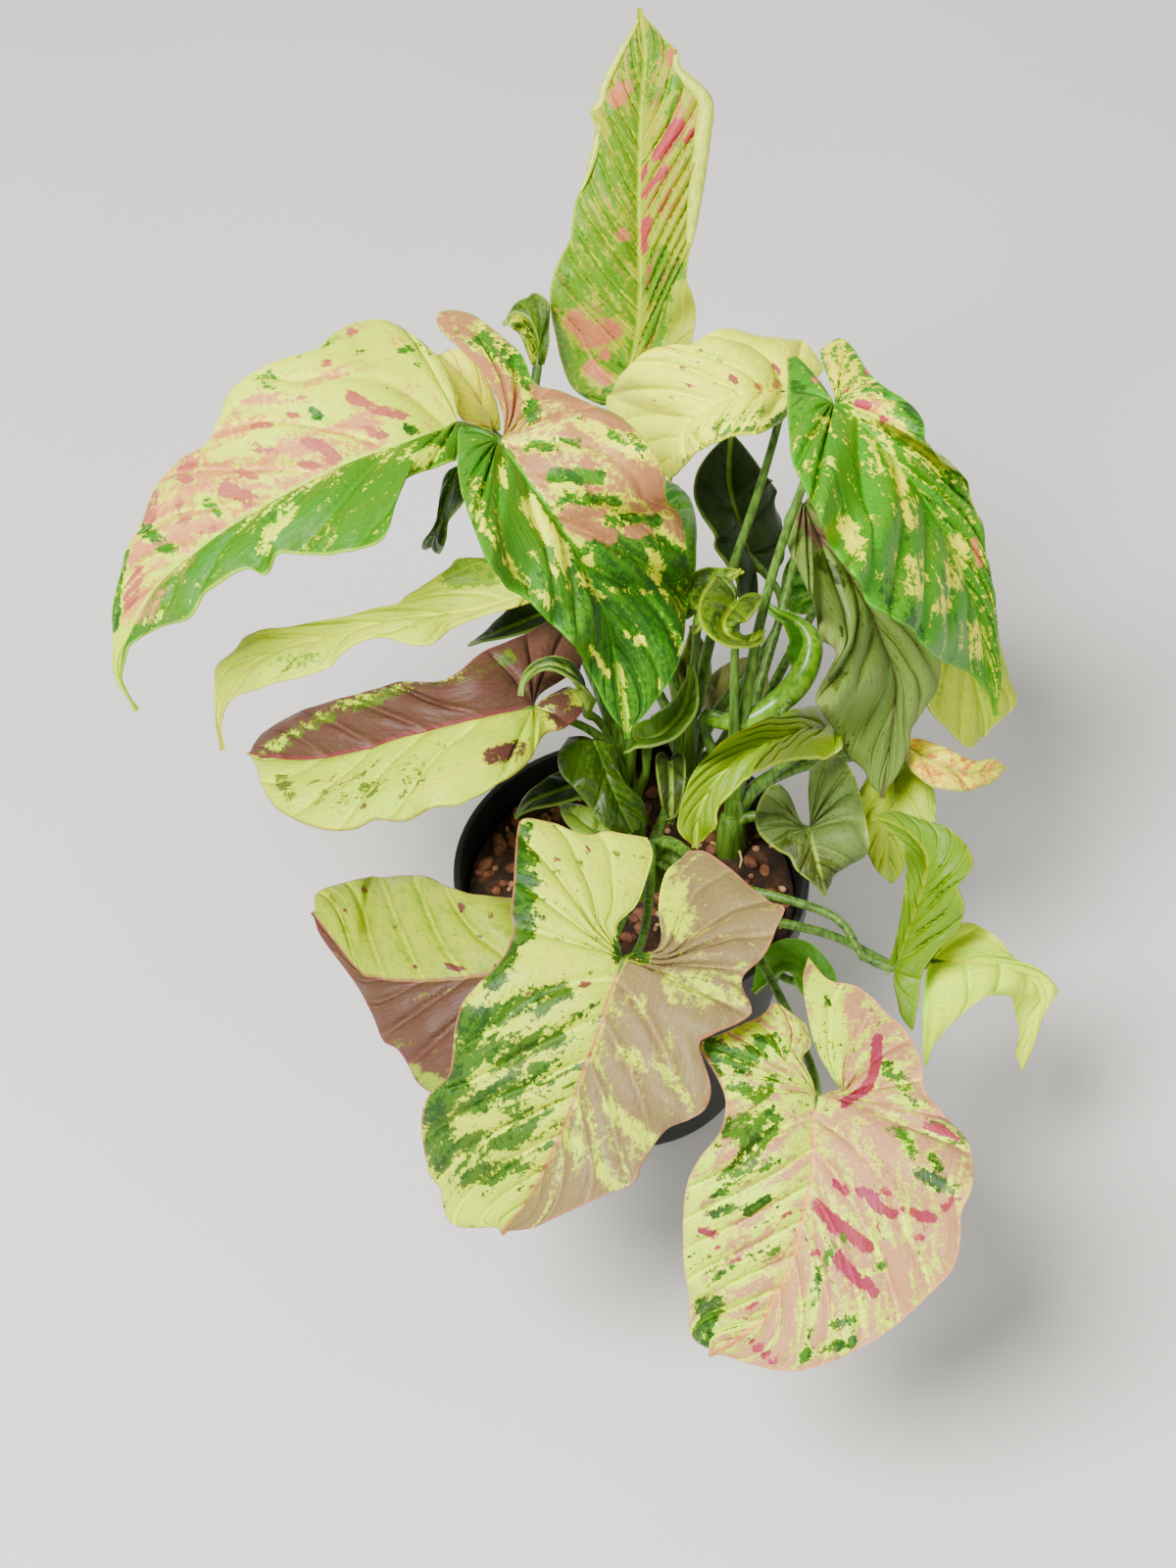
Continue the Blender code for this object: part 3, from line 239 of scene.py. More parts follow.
# Injection-moulded black polypropylene: a dull sheen with a fine moulded grain, and greyer scuffs
# where the wall has rubbed against trays
pot_plastic, tree, shader = new_material("moulded black plastic", 0.5)
place = add_node(tree, "TexCoord")
scuff = add_node(tree, "TexNoise", {"Vector": place.outputs["Object"], "Scale": 45, "Detail": 6,
                                    "Roughness": 0.7})
worn = add_node(tree, "MapRange", {"Value": scuff.outputs[0], "From Min": 0.55, "From Max": 0.75})
black = add_node(tree, "Mix", {0: worn.outputs[0], MIX_A: linear("#161617"),
                               MIX_B: linear("#2b2b2c")}, data_type="RGBA")
tree.links.new(black.outputs[MIXED], shader.inputs["Base Color"])
dulled = add_node(tree, "MapRange", {"Value": scuff.outputs[0], "To Min": 0.38, "To Max": 0.62})
tree.links.new(dulled.outputs[0], shader.inputs["Roughness"])
grain = add_node(tree, "TexNoise", {"Vector": place.outputs["Object"], "Scale": 1400, "Detail": 1})
relief = add_node(tree, "Bump", {"Height": grain.outputs[0], "Strength": 0.25,
                                 "Distance": 0.1 * MM})
tree.links.new(relief.outputs[0], shader.inputs["Normal"])

pot = add_piece("nursery_pot", spun(pot_profile, POT_STEPS), pot_plastic)
bm = bmesh.new()
for k in range(POT_HOLES):
    turn = Matrix.Rotation(2 * math.pi * k / POT_HOLES, 4, "Z")
    bmesh.ops.create_cone(bm, cap_ends=True, segments=POT_HOLE_STEPS, radius1=POT_HOLE_RADIUS,
                          radius2=POT_HOLE_RADIUS, depth=4 * POT_FLOOR,
                          matrix=turn @ Matrix.Translation((POT_HOLE_RING, 0, 0)))
drills = add_piece("drills", bm)
drain = pot.modifiers.new("drainage holes", "BOOLEAN")
drain.operation, drain.solver, drain.object = "DIFFERENCE", "EXACT", drills
applied(pot)
bpy.data.objects.remove(drills, do_unlink=True)
smooth_shaded(pot)
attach(pot, "root")
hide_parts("pot")

# Potting mix
# Dark peat and shredded bark, filled in loose up to 10 mm below the rim and sunk a little at the
# edge by watering. It is rough all over.
SOIL_GAP, SOIL_RELIEF, SOIL_LUMP = 0.35 * MM, 1.8 * MM, 9 * MM
SOIL_CRUMB, SOIL_CRUMB_RELIEF = 2.2 * MM, 0.7 * MM
CRUMB_ROUGHNESS, CRUMB_FINER, CRUMB_LAYERS = 0.6, 2.1, 3
# The edge's drop and inset, and the lip below it. The rough top takes part of that drop, over the
# outer band of the radius.
SOIL_EDGE_DROP, SOIL_EDGE_INSET = 3 * MM, 1.2 * MM
SOIL_LIP_INSET, SOIL_LIP_DROP = 0.4 * MM, 1 * MM
SOIL_EDGE_SUNK, SOIL_EDGE_BAND = 0.6, 0.18
SOIL_TOP_RINGS, SOIL_STEPS = 44, 132
SOFT_EDGE = math.radians(60)
soil_bottom = POT_FLOOR + SOIL_GAP
soil_low_radius = wall_radius(POT_FLOOR) - POT_WALL - SOIL_GAP
soil_radius = wall_radius(SOIL_TOP) - POT_WALL - SOIL_GAP
soil_edge = SOIL_TOP - SOIL_EDGE_DROP
soil_flat_radius = soil_radius - SOIL_EDGE_INSET


def soil_height(x, y):
    """Height of the potting mix: level, with lumps and crumbs, and lower at its edge."""
    place = Vector((x, y, SOIL_TOP))
    lump = place / SOIL_LUMP
    height = SOIL_TOP + SOIL_RELIEF * (noise.noise(lump) + 0.5 * noise.noise(2 * lump))
    height += SOIL_CRUMB_RELIEF * noise.fractal(place / SOIL_CRUMB, CRUMB_ROUGHNESS, CRUMB_FINER,
                                                CRUMB_LAYERS)
    band = SOIL_EDGE_BAND * soil_radius
    out = min(1.0, max(0.0, (math.hypot(x, y) - soil_radius + band) / band))
    return height - SOIL_EDGE_DROP * SOIL_EDGE_SUNK * out**2


soil_profile = [(0, soil_bottom), (soil_low_radius, soil_bottom),
                (soil_radius - SOIL_LIP_INSET, soil_edge - SOIL_LIP_DROP)]
for ring in range(SOIL_TOP_RINGS + 1):
    soil_profile.append((soil_flat_radius * (1 - ring / SOIL_TOP_RINGS), SOIL_TOP))
bm = spun(soil_profile, SOIL_STEPS)
for vertex in bm.verts:
    if vertex.co.z > SOIL_TOP - WELD:
        vertex.co.z = soil_height(vertex.co.x, vertex.co.y)

# Moist peat: near black where it is wet, brown where it has dried, dull, with a grain of fibres
damp_peat, tree, shader = new_material("damp peat and bark", 0.95)
place = add_node(tree, "TexCoord")
broad = add_node(tree, "TexNoise", {"Vector": place.outputs["Object"], "Scale": 160, "Detail": 8,
                                    "Roughness": 0.75})
peat = add_node(tree, "ValToRGB", {"Fac": broad.outputs[0]})
peat.color_ramp.elements[0].color, peat.color_ramp.elements[0].position = linear("#1a0f08"), 0.3
peat.color_ramp.elements[1].color, peat.color_ramp.elements[1].position = linear("#6b4426"), 0.72
peat.color_ramp.elements.new(0.52).color = linear("#38220f")
tree.links.new(peat.outputs[0], shader.inputs["Base Color"])
crumbs = add_node(tree, "TexNoise", {"Vector": place.outputs["Object"], "Scale": 900, "Detail": 5})
relief = add_node(tree, "Bump", {"Height": crumbs.outputs[0], "Strength": 0.9,
                                 "Distance": 0.8 * MM})
tree.links.new(relief.outputs[0], shader.inputs["Normal"])

soil = add_piece("potting_mix", bm, damp_peat)
smooth_shaded(soil, SOFT_EDGE)
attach(soil, "root")
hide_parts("soil")

# Bark chips, prills and roots
# Reddish bark and baked clay prills lie loose on the potting mix, each sunk about a third. A thin
# tan root and a young green one have grown out over it by the right shoot.
CHIP_COUNT, PRILL_COUNT = 190, 150
CHIP_SIZES, PRILL_SIZES = (1.1 * MM, 3.2 * MM), (0.7 * MM, 1.5 * MM)
# Lumps: room to the wall, lean, width to length, how high the middle lies, and how fine the dents
LUMP_INSET, LUMP_LEAN, LUMP_WIDTHS, LUMP_RISE, LUMP_DENTS = 3 * MM, 0.5, (0.6, 0.9), 0.35, 0.8
# Each root's line: places in the picture, and millimetres over the potting mix
ROOT_LINES = (((730, 846, -1), (743, 851, 3), (753, 863, 4), (757, 877, 2), (753, 892, -1)),
              ((720, 858, -1), (730, 861, 2), (741, 863, 2.5), (748, 869, -1)))
ROOT_RADIUS, ROOT_TAPER, ROOT_SIDES = 0.55 * MM, (1, 1, 0.9, 0.8, 0.5), 8


def tube_into(bm, points, radii, sides, material_index=0):
    """Adds a round tapering tube through the points to a bmesh."""
    curve = bpy.data.curves.new("guide", "CURVE")
    curve.dimensions = "3D"
    curve.bevel_depth = 1
    # A round bevel has four sides, and two more for each step of its resolution
    curve.bevel_resolution = sides // 2 - 2
    curve.use_fill_caps = True
    spline = curve.splines.new("POLY")
    spline.points.add(len(points) - 1)
    for place, point, radius in zip(spline.points, points, radii):
        place.co = (*point, 1)
        place.radius = radius
    guide = bpy.data.objects.new("guide", curve)
    bpy.context.scene.collection.objects.link(guide)
    graph = bpy.context.evaluated_depsgraph_get()
    mesh = bpy.data.meshes.new_from_object(guide.evaluated_get(graph))
    for face in mesh.polygons:
        face.material_index = material_index
    bm.from_mesh(mesh)
    bpy.data.objects.remove(guide, do_unlink=True)
    bpy.data.meshes.remove(mesh)


def scattered(count, sizes, flatness, roughened, seed):
    """A bmesh of small lumps that lie turned at random on the potting mix."""
    chance = random.Random(seed)
    bm = bmesh.new()
    for _ in range(count):
        out = (soil_radius - LUMP_INSET) * math.sqrt(chance.random())
        around = 2 * math.pi * chance.random()
        x, y = out * math.cos(around), out * math.sin(around)
        size = chance.uniform(*sizes)
        tilt = Euler([chance.uniform(-LUMP_LEAN, LUMP_LEAN), chance.uniform(-LUMP_LEAN, LUMP_LEAN),
                      chance.uniform(0, math.tau)])
        width = size * chance.uniform(*LUMP_WIDTHS)
        squashed = Matrix.Diagonal((size, width, size * flatness, 1))
        place = Matrix.Translation((x, y, soil_height(x, y) + LUMP_RISE * size * flatness))
        lump = bmesh.ops.create_icosphere(bm, subdivisions=2, radius=1,
                                          matrix=place @ tilt.to_matrix().to_4x4() @ squashed)
        middle = place.translation
        for vertex in lump["verts"]:
            bulge = 1 + roughened * noise.noise(vertex.co / size * LUMP_DENTS)
            vertex.co = middle + (vertex.co - middle) * bulge
    return bm


# Reddish bark: dull, with a dark grain
bark, tree, shader = new_material("shredded pine bark", 0.85)
place = add_node(tree, "TexCoord")
fibres = add_node(tree, "TexNoise", {"Vector": place.outputs["Object"], "Scale": 420, "Detail": 5,
                                     "Roughness": 0.7})
brown = add_node(tree, "ValToRGB", {"Fac": fibres.outputs[0]})
brown.color_ramp.elements[0].color, brown.color_ramp.elements[0].position = linear("#3a1f10"), 0.32
brown.color_ramp.elements[1].color, brown.color_ramp.elements[1].position = linear("#9a5f3c"), 0.7
tree.links.new(brown.outputs[0], shader.inputs["Base Color"])
relief = add_node(tree, "Bump", {"Height": fibres.outputs[0], "Strength": 0.7,
                                 "Distance": 0.4 * MM})
tree.links.new(relief.outputs[0], shader.inputs["Normal"])
bm = scattered(CHIP_COUNT, CHIP_SIZES, flatness=0.6, roughened=0.5, seed=3)
chips = add_piece("bark_chips", bm, bark)

# Baked clay: pale tan and powdery, with darker damp patches
clay, tree, shader = new_material("baked clay prills", 0.8)
place = add_node(tree, "TexCoord")
damp = add_node(tree, "TexNoise", {"Vector": place.outputs["Object"], "Scale": 260, "Detail": 3})
tan = add_node(tree, "ValToRGB", {"Fac": damp.outputs[0]})
tan.color_ramp.elements[0].color, tan.color_ramp.elements[0].position = linear("#8a5a38"), 0.35
tan.color_ramp.elements[1].color, tan.color_ramp.elements[1].position = linear("#d6a877"), 0.65
tree.links.new(tan.outputs[0], shader.inputs["Base Color"])
bm = scattered(PRILL_COUNT, PRILL_SIZES, flatness=0.9, roughened=0.25, seed=8)
prills = add_piece("clay_prills", bm, clay)

# Root skin: tan, fading to yellow-green where it is young
root_skin, tree, shader = new_material("young root skin", 0.55)
place = add_node(tree, "TexCoord")
rings = add_node(tree, "TexNoise", {"Vector": place.outputs["Object"], "Scale": 300, "Detail": 2})
hue = add_node(tree, "ValToRGB", {"Fac": rings.outputs[0]})
hue.color_ramp.elements[0].color, hue.color_ramp.elements[0].position = linear("#a8903f"), 0.35
hue.color_ramp.elements[1].color, hue.color_ramp.elements[1].position = linear("#d8bd78"), 0.7
tree.links.new(hue.outputs[0], shader.inputs["Base Color"])
bm = bmesh.new()
for points in ROOT_LINES:
    run = [at_height(x, y, SOIL_TOP / MM + lift) for x, y, lift in points]
    tube_into(bm, run, [ROOT_RADIUS * share for share in ROOT_TAPER], ROOT_SIDES)
roots = add_piece("roots", bm, root_skin)
for piece in (chips, prills, roots):
    smooth_shaded(piece, SOFT_EDGE)
    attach(piece, "root")

# Leaf blades of the left shoot
# Soft arrow-shaped blades, half a millimetre thick with a rib below, puffed between sunken side
# veins and waved at the margin. They are patched in cream, pink and green, as such plants grow.

# How far from square a line of sight may meet a half-blade, and how upright a rib may be
MOST_SLANT, LEAST_SLOPE, STEEPEST_RIB = 2.3, 0.001, 0.05
# Outlines: the tip's width and start, the notch, and the shoulders of plain arrows and lances
TIP_HALF_WIDTH, TIP_BEGINS = 0.8 * MM, 0.94
NOTCH_SLACK, NOTCH_ANGLE, NOTCH_REACH = math.radians(8), math.radians(12), 0.35
SHOULDER_SPREAD, ARROW_POWER, LANCE_POWER = 0.95, 2.2, 0.7
# A blade's thickness, and the rib below it, which has thinned to a quarter at the tip
BLADE_THICKNESS, RIB_DEPTH, RIB_HALF_WIDTH, RIB_FADE = 0.55 * MM, 1.5 * MM, 1.1 * MM, 0.75
# The arch of each half, and the groove over the rib, whose half width is in millimetres
CAMBER, FULL_CAMBER_WIDTH = 2 * MM, 18 * MM
GROOVE, GROOVE_HALF_MM = 0.5 * MM, 1.2
# Puffs between side veins and finer crinkles, and how near the rib and margin they start to fade
PUFF, PUFF_POWER, PUFF_FROM_RIB_MM, PUFF_FROM_MARGIN = 1.4 * MM, 0.6, 5, 4 * MM
CRINKLE, CRINKLE_SIZE, CRINKLE_FROM_RIB_MM = 0.55 * MM, 8 * MM, 4
# Waves and frills of the margin: how far the left half's waves lag, and the frill's own noise
LEFT_WAVE_LAG = 1.9
FRILL, FRILL_SIZE, FRILL_PLACE = 0.8 * MM, 7 * MM, SIDEWAYS * 9
# Millimetres between side veins, how far they lean to the tip, and the rows in which that grows
VEIN_STEP, LEAST_VEINS = 12, 3
VEIN_SWEEP, VEIN_SWEEP_ROWS = 0.16, 0.15
# Rows along and columns across a blade, and the rows that its length is first measured with
ROW_STEP, LEAST_ROWS, MOST_ROWS, ROUGH_ROWS = 1.875 * MM, 24, 150, 20
ACROSS_STEP, LEAST_ACROSS, MOST_ACROSS = 1.7 * MM, 5, 26
# Colour strokes: where their soft edge ends, a dot's length in the picture, and green's depth
STROKE_FADE, DOT_LENGTH, GREEN_DEPTH = 1.7, 0.01, 0.55
# The top of the stalk, which is one piece with its blade: how it runs up below the joint, lies
# under the rib and tapers off there, and the gap to the rest of the stalk
JOINT_RADIUS, JOINT_LENGTH, JOINT_GAP, JOINT_SIDES = 1.5 * MM, 7 * MM, 0.3 * MM, 12
JOINT_BELOW, JOINT_SUNK, JOINT_SHARE, JOINT_LEAN = 0.9 * MM, 0.4 * MM, 0.08, (0.75, 0.66)
JOINT_RUN_UP, JOINT_RUN_IN = (JOINT_LENGTH, 4 * MM, 1.5 * MM), (1.5 * MM, 5 * MM)
JOINT_TAPER = (1, 1, 1.05, 1, 0.55)


class Path:
    """A smooth curve through points, read by its share of the length."""

    STEPS = 10
    LEAST_LENGTH = 1e-9

    def __init__(self, points):
        given = np.array([tuple(p) for p in points], float)
        padded = np.vstack([2 * given[0] - given[1], given, 2 * given[-1] - given[-2]])
        dense = []
        for k in range(1, len(padded) - 2):
            a, b, c, d = padded[k - 1:k + 3]
            for step in range(self.STEPS):
                t = step / self.STEPS
                dense.append(0.5 * (2 * b + (c - a) * t + (2 * a - 5 * b + 4 * c - d) * t**2
                                    + (3 * b - a - 3 * c + d) * t**3))
        dense.append(given[-1])
        self.dense = np.array(dense)
        runs = np.linalg.norm(np.diff(self.dense, axis=0), axis=1)
        self.length = float(runs.sum())
        self.shares = np.concatenate([[0], np.cumsum(runs)]) / max(self.length, self.LEAST_LENGTH)

    def at(self, share):
        return Vector([np.interp(share, self.shares, column) for column in self.dense.T])

    def along(self, share, reach=0.04):
        low, high = max(0.0, share - reach), min(1.0, share + reach)
        return (self.at(high) - self.at(low)).normalized()


def seen_on_plane(seen, start, plane):
    """Where a line of sight meets the plane through a rib point, held near if they slant away."""
    line = sight_line(seen).normalized()
    nearest = EYE + line * (start - EYE).dot(line)
    slope = line.dot(plane)
    if abs(slope) < LEAST_SLOPE:
        return nearest
    place = EYE + line * ((start - EYE).dot(plane) / slope)
    run = (place - nearest).length
    most = (nearest - start).length * math.sqrt(MOST_SLANT**2 - 1)
    return nearest.lerp(place, most / run) if run > most else place


def split_at_lobe(margin, joint, next_on_rib):
    """The margin's points along the notch, up to the one furthest back about the joint, and on."""
    behind = Vector(joint) - Vector(next_on_rib)
    spokes = [Vector(point) - Vector(joint) for point in margin[:len(margin) // 2]]
    side = math.copysign(1, sum(behind.cross(spoke) for spoke in spokes))
    turns = [math.atan2(side * behind.cross(spoke), behind.dot(spoke)) for spoke in spokes]
    furthest = max(k for k, turn in enumerate(turns) if turn < min(turns) + NOTCH_SLACK)
    return margin[:furthest + 1], margin[furthest:]


class Row:
    """One row of a half-blade: its ends, the way it faces, and its wave at the margin."""

    def __init__(self, blade, side, row):
        self.row = row
        self.start, self.ahead, self.out, self.normal = blade.half(side, row)
        self.own = self.out.cross(self.ahead) * side
        self.end = blade.margin_at(side, row, self)
        self.eyeward = (EYE - self.end).normalized()
        self.width = (self.end - self.start).length
        height, count, phase = blade.wave
        ripple = math.sin(2 * math.pi * (count * row + phase) + (0 if side > 0 else LEFT_WAVE_LAG))
        self.calm_ends = math.sin(math.pi * min(1.0, max(0.0, row))) ** 0.5
        self.lift = height * MM * ripple * self.calm_ends

    def facing(self, reach):
        return self.normal.lerp(self.own, min(1.0, 2 * reach)).normalized()


class Blade:
    """One leaf blade: places on it by side (1 right, -1 left), row (0 notch, 1 tip) and reach."""

    def __init__(self, rib, right, left, fold, wave, lobe=0.3, shoulder=None, via=(), enters=None,
                 veins=None):
        self.rib = Path([at_height(*p) for p in rib])
        self.margins, self.notches = {}, {}
        for side, given in ((1, right), (-1, left)):
            if isinstance(given, (int, float)):
                self.margins[side] = given * MM
            else:
                notch, margin = split_at_lobe(given, rib[0][:2], rib[1][:2])
                self.notches[side] = Path([rib[0][:2], *notch])
                self.margins[side] = Path([*margin, rib[-1][:2]])
        self.fold, self.lobe, self.shoulder = fold, lobe, shoulder or (lobe, lobe)
        self.wave, self.via = wave, [at_height(*p) for p in via]
        joint = self.rib.at(0)
        if enters is None:
            ahead = self.rib.along(0.0, JOINT_SHARE)
            enters = Vector((ahead.x, ahead.y, 0)).normalized() * JOINT_LEAN[0] + UP * JOINT_LEAN[1]
        self.enters = Vector(enters).normalized()
        self.under_joint = joint - self.frame(0.0)[2] * JOINT_BELOW
        self.stalk_end = self.under_joint - self.enters * (JOINT_LENGTH + JOINT_GAP)
        counted = round(self.rib.length / MM / VEIN_STEP / (1 - lobe))
        self.veins = veins or max(LEAST_VEINS, counted)

    def frame(self, share):
        """(ahead, right-hand side, face normal) of the blade at a share of its rib."""
        ahead = self.rib.along(share)
        side = ahead.cross(UP)
        if side.length < STEEPEST_RIB:
            side = SIDEWAYS.copy()
        side.normalize()
        return ahead, side, side.cross(ahead).normalized()

    def half(self, side, row):
        """Rib point, directions ahead and out along the half-blade, and face normal at a row."""
        share = max(0.0, (row - self.lobe) / (1 - self.lobe))
        ahead, across, normal = self.frame(share)
        fold = math.radians(self.fold[0 if side > 0 else 1])
        out = across * (side * math.cos(fold)) + normal * math.sin(fold)
        return self.rib.at(share), ahead, out, normal

    def margin_at(self, side, row, half):
        """Where a row ends: on the margin seen in the picture, or on an arrow's outline."""
        margin = self.margins[side]
        if not isinstance(margin, Path):
            return self.plain_margin(half, margin, row)
        shoulder = self.shoulder[0 if side > 0 else 1]
        if row < self.lobe:
            along = shoulder * row / self.lobe
        else:
            along = shoulder + (1 - shoulder) * (row - self.lobe) / (1 - self.lobe)
        end = seen_on_plane(margin.at(along), half.start, half.ahead.cross(half.out))
        narrow = max(0.0, (row - TIP_BEGINS) / (1 - TIP_BEGINS))
        return end.lerp(half.start + half.out * TIP_HALF_WIDTH, narrow**2)

    def plain_margin(self, half, half_width, row):
        if row < self.lobe:
            turn = row / self.lobe
            angle = NOTCH_ANGLE + (math.pi / 2 - NOTCH_ANGLE) * turn
            rounding = math.sin(math.pi / 2 * min(1.0, 2 * turn))
            spread = half_width * SHOULDER_SPREAD * (NOTCH_REACH + (1 - NOTCH_REACH) * rounding)
            return half.start + (half.out * math.sin(angle) - half.ahead * math.cos(angle)) * spread
        share = (row - self.lobe) / (1 - self.lobe)
        if self.lobe:
            spread = SHOULDER_SPREAD * (1 - share**ARROW_POWER)
        else:
            spread = math.sin(math.pi * share**LANCE_POWER)
        return half.start + half.out * max(TIP_HALF_WIDTH, half_width * spread)

    def notch_bends(self, side, reaches):
        """How far the notch's edge leaves a straight line at each reach."""
        if side not in self.notches or not self.lobe:
            return [Vector((0, 0, 0)) for _ in reaches]
        start, ahead, out, _ = self.half(side, 0)
        plane = ahead.cross(out)
        tip = seen_on_plane(self.notches[side].at(1), start, plane)
        return [seen_on_plane(self.notches[side].at(reach), start, plane) - start.lerp(tip, reach)
                if reach else Vector((0, 0, 0)) for reach in reaches]

    def phase(self, row, reach):
        """Counts the side veins: whole on a vein, which leans towards the tip as it runs out."""
        beyond = min(1.0, max(0.0, (row - self.lobe) / VEIN_SWEEP_ROWS))
        return self.veins * (row - VEIN_SWEEP * beyond * reach)


def near_stroke(seen, points, half_width):
    """From 0 to 1 for each place in the picture: how much a stroke of this half width covers it."""
    points = np.array(points, float).reshape(-1, 2)
    if len(points) == 1:
        points = np.vstack([points, points + DOT_LENGTH])
    nearest = np.full(len(seen), np.inf)
    for a, b in zip(points, points[1:]):
        t = np.clip((seen - a) @ (b - a) / ((b - a) @ (b - a)), 0, 1)[:, None]
        nearest = np.minimum(nearest, np.linalg.norm(seen - a - t * (b - a), axis=1))
    return np.clip(STROKE_FADE - nearest / half_width, 0, 1)


def blade_bmesh(blade, tints, marks, crinkled):
    """The blade in fine rows, with its colour marks, and its underside a thickness below."""
    rough = [Row(blade, side, k / ROUGH_ROWS) for side in (1, -1) for k in range(ROUGH_ROWS + 1)]
    steps = [(a.end - b.end).length for a, b in zip(rough, rough[1:]) if a.row < b.row]
    rows = int(min(MOST_ROWS, max(LEAST_ROWS, max(steps) * ROUGH_ROWS / ROW_STEP)))
    widest = max(half.width for half in rough)
    across = int(min(MOST_ACROSS, max(LEAST_ACROSS, widest / ACROSS_STEP)))
    halves = {side: [Row(blade, side, k / rows) for k in range(rows + 1)] for side in (1, -1)}
    reaches = [k / across for k in range(across + 1)]
    bends = {side: blade.notch_bends(side, reaches) for side in (1, -1)}

    bm = bmesh.new()
    bmesh.ops.create_grid(bm, x_segments=2 * across, y_segments=rows, size=1)
    under = bm.verts.layers.float_vector.new("under")
    below = bm.verts.layers.float.new("below")
    from_edge = bm.verts.layers.float.new("from_edge")
    layers = {kind: bm.verts.layers.float.new(kind) for kind in tints}
    uv = bm.loops.layers.uv.new("blade")
    flat, seen, given = {}, [], {kind: [] for kind in layers}
    for vertex in bm.verts:
        side = 1 if vertex.co.x >= 0 else -1
        reach = abs(vertex.co.x)
        half = halves[side][round((vertex.co.y + 1) / 2 * rows)]
        facing = half.facing(reach)
        place = half.start.lerp(half.end, reach)
        if half.row < blade.lobe:
            place += bends[side][round(reach * across)] * (1 - half.row / blade.lobe)
        out_mm = reach * half.width / MM
        phase = blade.phase(half.row, reach)
        puff = abs(math.sin(math.pi * phase)) ** PUFF_POWER * 2 - 1
        wide = min(1.0, half.width / FULL_CAMBER_WIDTH)
        hump = 4 * reach * (1 - reach) * wide
        place += half.normal * hump * CAMBER
        calm = min(1.0, out_mm / PUFF_FROM_RIB_MM) * half.calm_ends
        calm *= min(1.0, (1 - reach) * half.width / PUFF_FROM_MARGIN)
        place += facing * (PUFF * wide * puff * calm)
        dent = noise.noise(place / CRINKLE_SIZE) * min(1.0, out_mm / CRINKLE_FROM_RIB_MM)
        place += facing * CRINKLE * crinkled * wide * dent
        place -= facing * GROOVE * math.exp(-(out_mm / GROOVE_HALF_MM) ** 2)
        place += half.eyeward * (half.lift * reach**2)
        frill = noise.noise(place / FRILL_SIZE + FRILL_PLACE) * reach**4 * half.calm_ends
        place += facing * FRILL * wide * frill
        rib = math.exp(-(out_mm * MM / RIB_HALF_WIDTH) ** 2) * (1 - RIB_FADE * half.row)
        vertex[under] = -facing * (BLADE_THICKNESS + RIB_DEPTH * rib)
        vertex[from_edge] = (1 - reach) * half.width / MM
        flat[vertex] = (out_mm, phase * VEIN_STEP)
        seen.append(seen_at(place))
        for kind, (right, left) in tints.items():
            given[kind].append(right if side > 0 else left)
        vertex.co = place
    seen = np.array(seen)
    values = {kind: np.array(column, float) for kind, column in given.items()}
    for colour, *strokes in marks:
        for strength, half_width, *points in strokes:
            cover = near_stroke(seen, points, half_width)
            kind, level = colour, strength
            if colour == "green":
                kind, level = "deep", strength * GREEN_DEPTH
                for hidden in ("light", "rose", "coral"):
                    values[hidden] *= 1 - cover * strength
            values[kind] = values[kind] * (1 - cover) + level * cover
    for kind, layer in layers.items():
        for vertex, value in zip(bm.verts, values[kind]):
            vertex[layer] = value
    for face in bm.faces:
        for loop in face.loops:
            loop[uv].uv = flat[loop.vert]
    bmesh.ops.remove_doubles(bm, verts=bm.verts, dist=2 * WELD)
    grown = bmesh.ops.extrude_face_region(bm, geom=bm.faces[:], use_keep_orig=True)
    for vertex in grown["geom"]:
        if isinstance(vertex, bmesh.types.BMVert):
            vertex.co += vertex[under]
            vertex[below] = 1
    bmesh.ops.recalc_face_normals(bm, faces=bm.faces)
    return bm


# How fine the grains are, how far they spread about their middle, and how much each skin shines
GRAIN_SCALE, GRAIN_SPREAD = 520, 0.24
WAXY_SHINE, JUICY_SHINE = 0.24, 0.35


